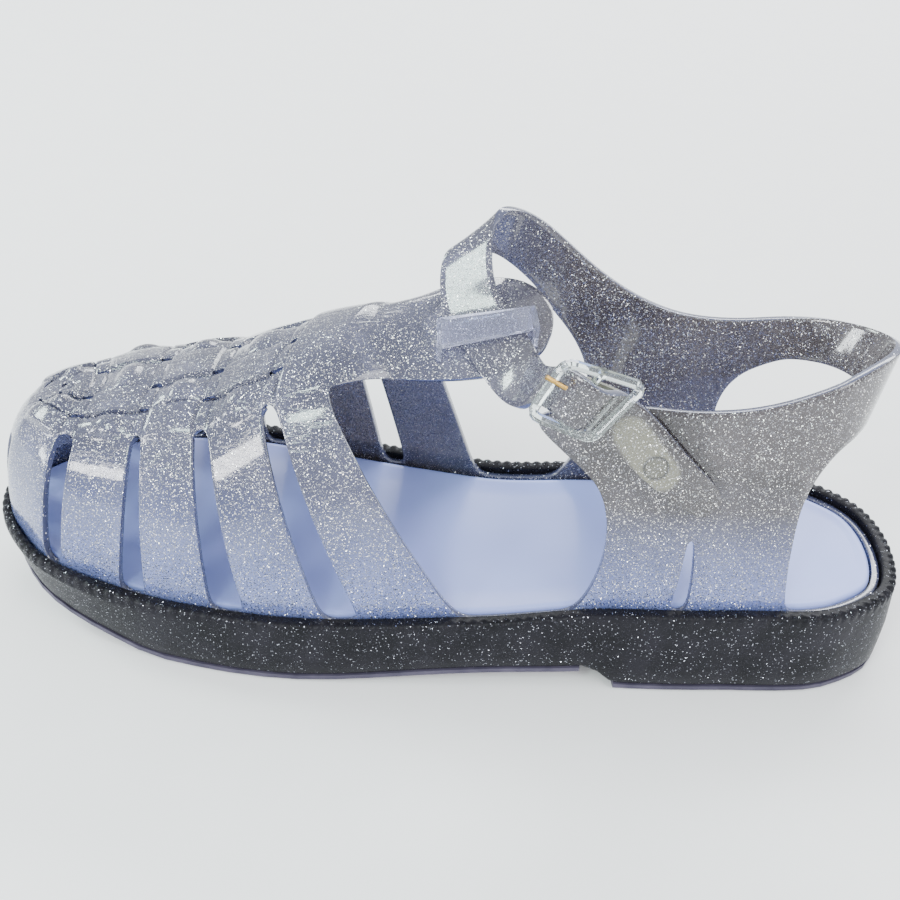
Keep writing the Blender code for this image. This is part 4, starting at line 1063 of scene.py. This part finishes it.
def build_sole():
    """The sole body, with the notches round its rim."""
    material = finished("sole_plastic", DARK_GLITTER)
    obj = slab_object("sole_body", SOLE_STATIONS, SOLE_RINGS, 4, material)
    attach(obj, "root")
    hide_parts("sole")


def build_insole():
    """The glossy foot bed, with its rounded border."""
    material = finished("foot_bed_plastic", FOOT_BED)
    obj = slab_object("foot_bed", INSOLE_STATIONS, INSOLE_RINGS, 10, material)
    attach(obj, "root")
    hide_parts("insole")


class Shader:
    """A material and short calls that add nodes to it."""

    def __init__(self, name):
        self.material = bpy.data.materials.new(name)
        self.material.use_nodes = True
        self.tree = self.material.node_tree
        self.main = self.tree.nodes["Principled BSDF"]
        self.coords = self.tree.nodes.new("ShaderNodeTexCoord").outputs["Object"]

    def node(self, kind, inputs=None, **settings):
        made = self.tree.nodes.new(kind)
        for key, value in settings.items():
            setattr(made, key, value)
        for key, value in (inputs or {}).items():
            self.put(made.inputs[key], value)
        return made

    def put(self, socket, value):
        if isinstance(value, bpy.types.NodeSocket):
            self.tree.links.new(value, socket)
        else:
            socket.default_value = value

    def noise(self, scale, detail=2.0, stretch=(1.0, 1.0, 1.0)):
        """Noise, with its own stretch of the place along each axis."""
        place = self.vector("MULTIPLY", self.coords, stretch)["Vector"]
        made = self.node("ShaderNodeTexNoise", {"Vector": place, "Scale": scale, "Detail": detail})
        return made.outputs["Fac"]

    def math(self, operation, a, b=0.0):
        return self.node("ShaderNodeMath", {0: a, 1: b}, operation=operation).outputs[0]

    def ramp(self, value, stops):
        made = self.node("ShaderNodeValToRGB", {"Fac": value})
        elements = made.color_ramp.elements
        while len(elements) < len(stops):
            elements.new(0.5)
        for element, (place, colour) in zip(elements, stops):
            element.position = place
            element.color = (*colour, 1.0)
        return made.outputs["Color"]

    def along(self, axis, low, high):
        """From 0 at a low place on an axis to 1 at a high one, in metres."""
        place = self.node("ShaderNodeSeparateXYZ", {"Vector": self.coords}).outputs[axis]
        made = self.node("ShaderNodeMapRange", {"Value": place, "From Min": low, "From Max": high})
        return made.outputs["Result"]

    def vector(self, operation, *values, **named):
        inputs = {**dict(enumerate(values)), **named}
        return self.node("ShaderNodeVectorMath", inputs, operation=operation).outputs

    def near_line(self, line, stops):
        """A value that depends on the distance from a line between two points, in metres."""
        start = Vector(line[0])
        run = Vector(line[1]) - start
        away = self.vector("SUBTRACT", self.coords, start)["Vector"]
        if run.length > 0.0:
            share = self.vector("DOT_PRODUCT", away, run / run.length_squared)["Value"]
            share = self.node("ShaderNodeClamp", {"Value": share}).outputs["Result"]
            foot = self.vector("SCALE", run, Scale=share)["Vector"]
            away = self.vector("SUBTRACT", away, foot)["Vector"]
        gap = self.vector("LENGTH", away)["Value"]
        scaled = self.math("MULTIPLY", gap, 100.0)
        return self.ramp(scaled, [(place * 100.0, (value, value, value)) for place, value in stops])

    def blend(self, factor, first, second):
        inputs = {"Factor": factor, 6: first, 7: second}
        return self.node("ShaderNodeMix", inputs, data_type="RGBA").outputs[2]

    def bump(self, height, strength, distance):
        made = self.node("ShaderNodeBump", {"Height": height, "Strength": strength, "Distance": distance})
        return made.outputs["Normal"]

    def add_glitter(self, base, scale, share, tilt, colour, where=1.0):
        """Mix metal flecks over a shader, as far as where says. Each fleck is tilted its own way."""
        cells = self.node("ShaderNodeTexVoronoi", {"Vector": self.coords, "Scale": scale}).outputs
        split = self.node("ShaderNodeSeparateColor", {"Color": cells["Color"]})
        chosen = self.math("LESS_THAN", split.outputs[0], share)
        near = self.math("LESS_THAN", cells["Distance"], FLECK_RADIUS)
        mask = self.math("MULTIPLY", self.math("MULTIPLY", chosen, near), where)
        centred = self.vector("SUBTRACT", cells["Color"], (0.5, 0.5, 0.5))[0]
        turn = self.vector("SCALE", centred, Scale=tilt)[0]
        normal = self.node("ShaderNodeNewGeometry").outputs["Normal"]
        normal = self.vector("NORMALIZE", self.vector("ADD", normal, turn)[0])[0]
        look = {"Base Color": (*colour, 1.0), "Metallic": 1, "Roughness": FLECK_ROUGHNESS, "Normal": normal}
        metal = self.node("ShaderNodeBsdfPrincipled", look).outputs[0]
        return self.node("ShaderNodeMixShader", {"Fac": mask, 1: base, 2: metal}).outputs[0]

    def settings(self, values):
        for name, value in values.items():
            self.main.inputs[name].default_value = value

    def finish(self, surface):
        self.put(self.tree.nodes["Material Output"].inputs["Surface"], surface)
        return self.material


def clear_glitter(name):
    """Soft clear plastic filled with silver glitter, with light and shade painted in: paler painted
    see-through light where it stands over the foot bed, and painted shade towards the far side and heel.
    """
    sh = Shader(name)
    main = sh.main
    haze = sh.noise(*HAZE)
    # Painted see-through light: the pale tone where the foot bed shows through
    painted_see_through_light = sh.ramp(haze, PAINTED_SEE_THROUGH_LIGHT)
    # Lilac with the foot bed's blue painted in, and painted shade in smoke
    lilac_with_painted_see_through = sh.ramp(haze, LILAC_WITH_PAINTED_SEE_THROUGH)
    painted_shade_smoke = sh.ramp(haze, PAINTED_SHADE_SMOKE)
    # Painted shade: the tone turns to dark smoke towards the heel and the far side
    rear = sh.math("MAXIMUM", sh.along(*PAINTED_SHADE_TO_HEEL), sh.along(*PAINTED_SHADE_TO_FAR_SIDE))
    grey_with_painted_shade = sh.blend(rear, lilac_with_painted_see_through, painted_shade_smoke)
    # Painted see-through light: pale low on the near side, fading upwards and towards the far side
    low = sh.math("SUBTRACT", 1.0, sh.along(*PAINTED_LIGHT_FADES_UP))
    low = sh.math("MULTIPLY", low, sh.along(*PAINTED_LIGHT_TO_NEAR_SIDE))
    body = sh.blend(low, grey_with_painted_shade, painted_see_through_light)
    # Painted see-through tint of the tab and painted dark shade ring and disc of the rivet on the strap
    tab = sh.near_line(TAB_LINE, PAINTED_TAB_STOPS)
    body = sh.blend(tab, body, PAINTED_TAB_SEEN_THROUGH)
    ring = sh.near_line((RIVET_PLACE, RIVET_PLACE), PAINTED_RIVET_RING_STOPS)
    body = sh.blend(ring, body, PAINTED_RIVET_SHADE_RING)
    sh.put(main.inputs["Base Color"], body)
    sh.settings(CLEAR_SETTINGS)
    fine = sh.math("MULTIPLY", sh.noise(*FINE_GRAIN), FINE_SHARE)
    vamp_top = sh.math("MULTIPLY", sh.along(*DRAWN_HEIGHT), sh.along(*DRAWN_FORWARDS))
    drawn = sh.math("MULTIPLY", sh.noise(*DRAWN_MARKS), vamp_top)
    sh.put(main.inputs["Normal"], sh.bump(sh.math("ADD", fine, drawn), *RELIEF))
    surface = sh.add_glitter(main.outputs[0], *GREY_FLECKS)
    surface = sh.add_glitter(surface, *WHITE_FLECKS)
    # The dark flecks lie only where the painted see-through light is
    surface = sh.add_glitter(surface, *DARK_FLECKS, low)
    return sh.finish(surface)


def finished(name, finish):
    """A material with a plain finish."""
    tone, stops, settings, bump, flecks = finish
    sh = Shader(name)
    sh.put(sh.main.inputs["Base Color"], sh.ramp(sh.noise(*tone), stops))
    sh.settings(settings)
    if bump:
        sh.put(sh.main.inputs["Normal"], sh.bump(sh.noise(*bump[:2]), *bump[2:]))
    surface = sh.main.outputs[0]
    for fleck in flecks:
        surface = sh.add_glitter(surface, *fleck)
    return sh.finish(surface)


def clear_finish(colour, transmission, roughness):
    """Hard clear plastic with faint flow marks."""
    flow = (240.0, 3.0)
    light = tuple(min(c * 1.06, 1.0) for c in colour)
    settings = {"Roughness": roughness, "IOR": 1.5, "Transmission Weight": transmission}
    return flow, ((0.3, colour), (0.7, light)), settings, (*flow, 0.15, 0.0003), []


def soften(node, name, slot, width, *clear):
    """Replace a CAD node by the same shape with its edges rounded."""
    obj = add_object(name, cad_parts[node].data.copy())
    obj.data.materials.clear()
    round_edges(obj, width, *HARDWARE_EDGE)
    obj.data.materials.append(finished(name + "_plastic", clear_finish(*clear)))
    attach(obj, "root")
    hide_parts(node)


def finish_kept_nodes():
    for node, finish in KEPT_NODES:
        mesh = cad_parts[node].data
        mesh.materials.clear()
        mesh.materials.append(finished(node + "_finish", finish))


def add_camera():
    target = Vector(in_metres(CAMERA_TARGET))
    data = bpy.data.cameras.new("camera")
    data.lens = CAMERA_LENS
    data.shift_x, data.shift_y = CAMERA_SHIFT
    data.clip_start = 0.01
    turn = (
        Matrix.Rotation(CAMERA_YAW, 4, "Z")
        @ Matrix.Rotation(math.pi / 2 - CAMERA_HEIGHT, 4, "X")
        @ Matrix.Rotation(CAMERA_ROLL, 4, "Z")
    )
    back = turn.col[2].to_3d()
    camera = add_object("camera", data)
    camera.matrix_world = Matrix.Translation(target + back * CAMERA_DISTANCE * MM) @ turn
    bpy.context.scene.camera = camera


def add_floor():
    data = bmesh.new()
    bmesh.ops.create_grid(data, x_segments=8, y_segments=8, size=3.0)
    mesh = bpy.data.meshes.new("floor")
    data.to_mesh(mesh)
    data.free()
    floor = add_object("floor", mesh)
    floor.location.z = -0.0002
    mesh.materials.append(finished("floor_paper", FLOOR_PAPER))


def add_lights():
    """The white surroundings and the soft lights."""
    world = bpy.data.worlds.new("studio")
    world.use_nodes = True
    sky = world.node_tree.nodes["Background"]
    sky.inputs["Color"].default_value = SKY_COLOUR
    sky.inputs["Strength"].default_value = SKY_STRENGTH
    bpy.context.scene.world = world
    for name, place, size, power, colour in LIGHTS:
        data = bpy.data.lights.new(name, "AREA")
        data.shape = "RECTANGLE"
        data.size, data.size_y = size
        data.energy = power
        data.color = colour
        light = add_object(name, data)
        light.location = place
        light.rotation_euler = (Vector(LIGHT_AIM) - Vector(place)).to_track_quat("-Z", "Y").to_euler()


add_camera()
build_upper()
build_sole()
build_insole()
finish_kept_nodes()
for piece in HARDWARE:
    soften(*piece)
add_floor()
add_lights()
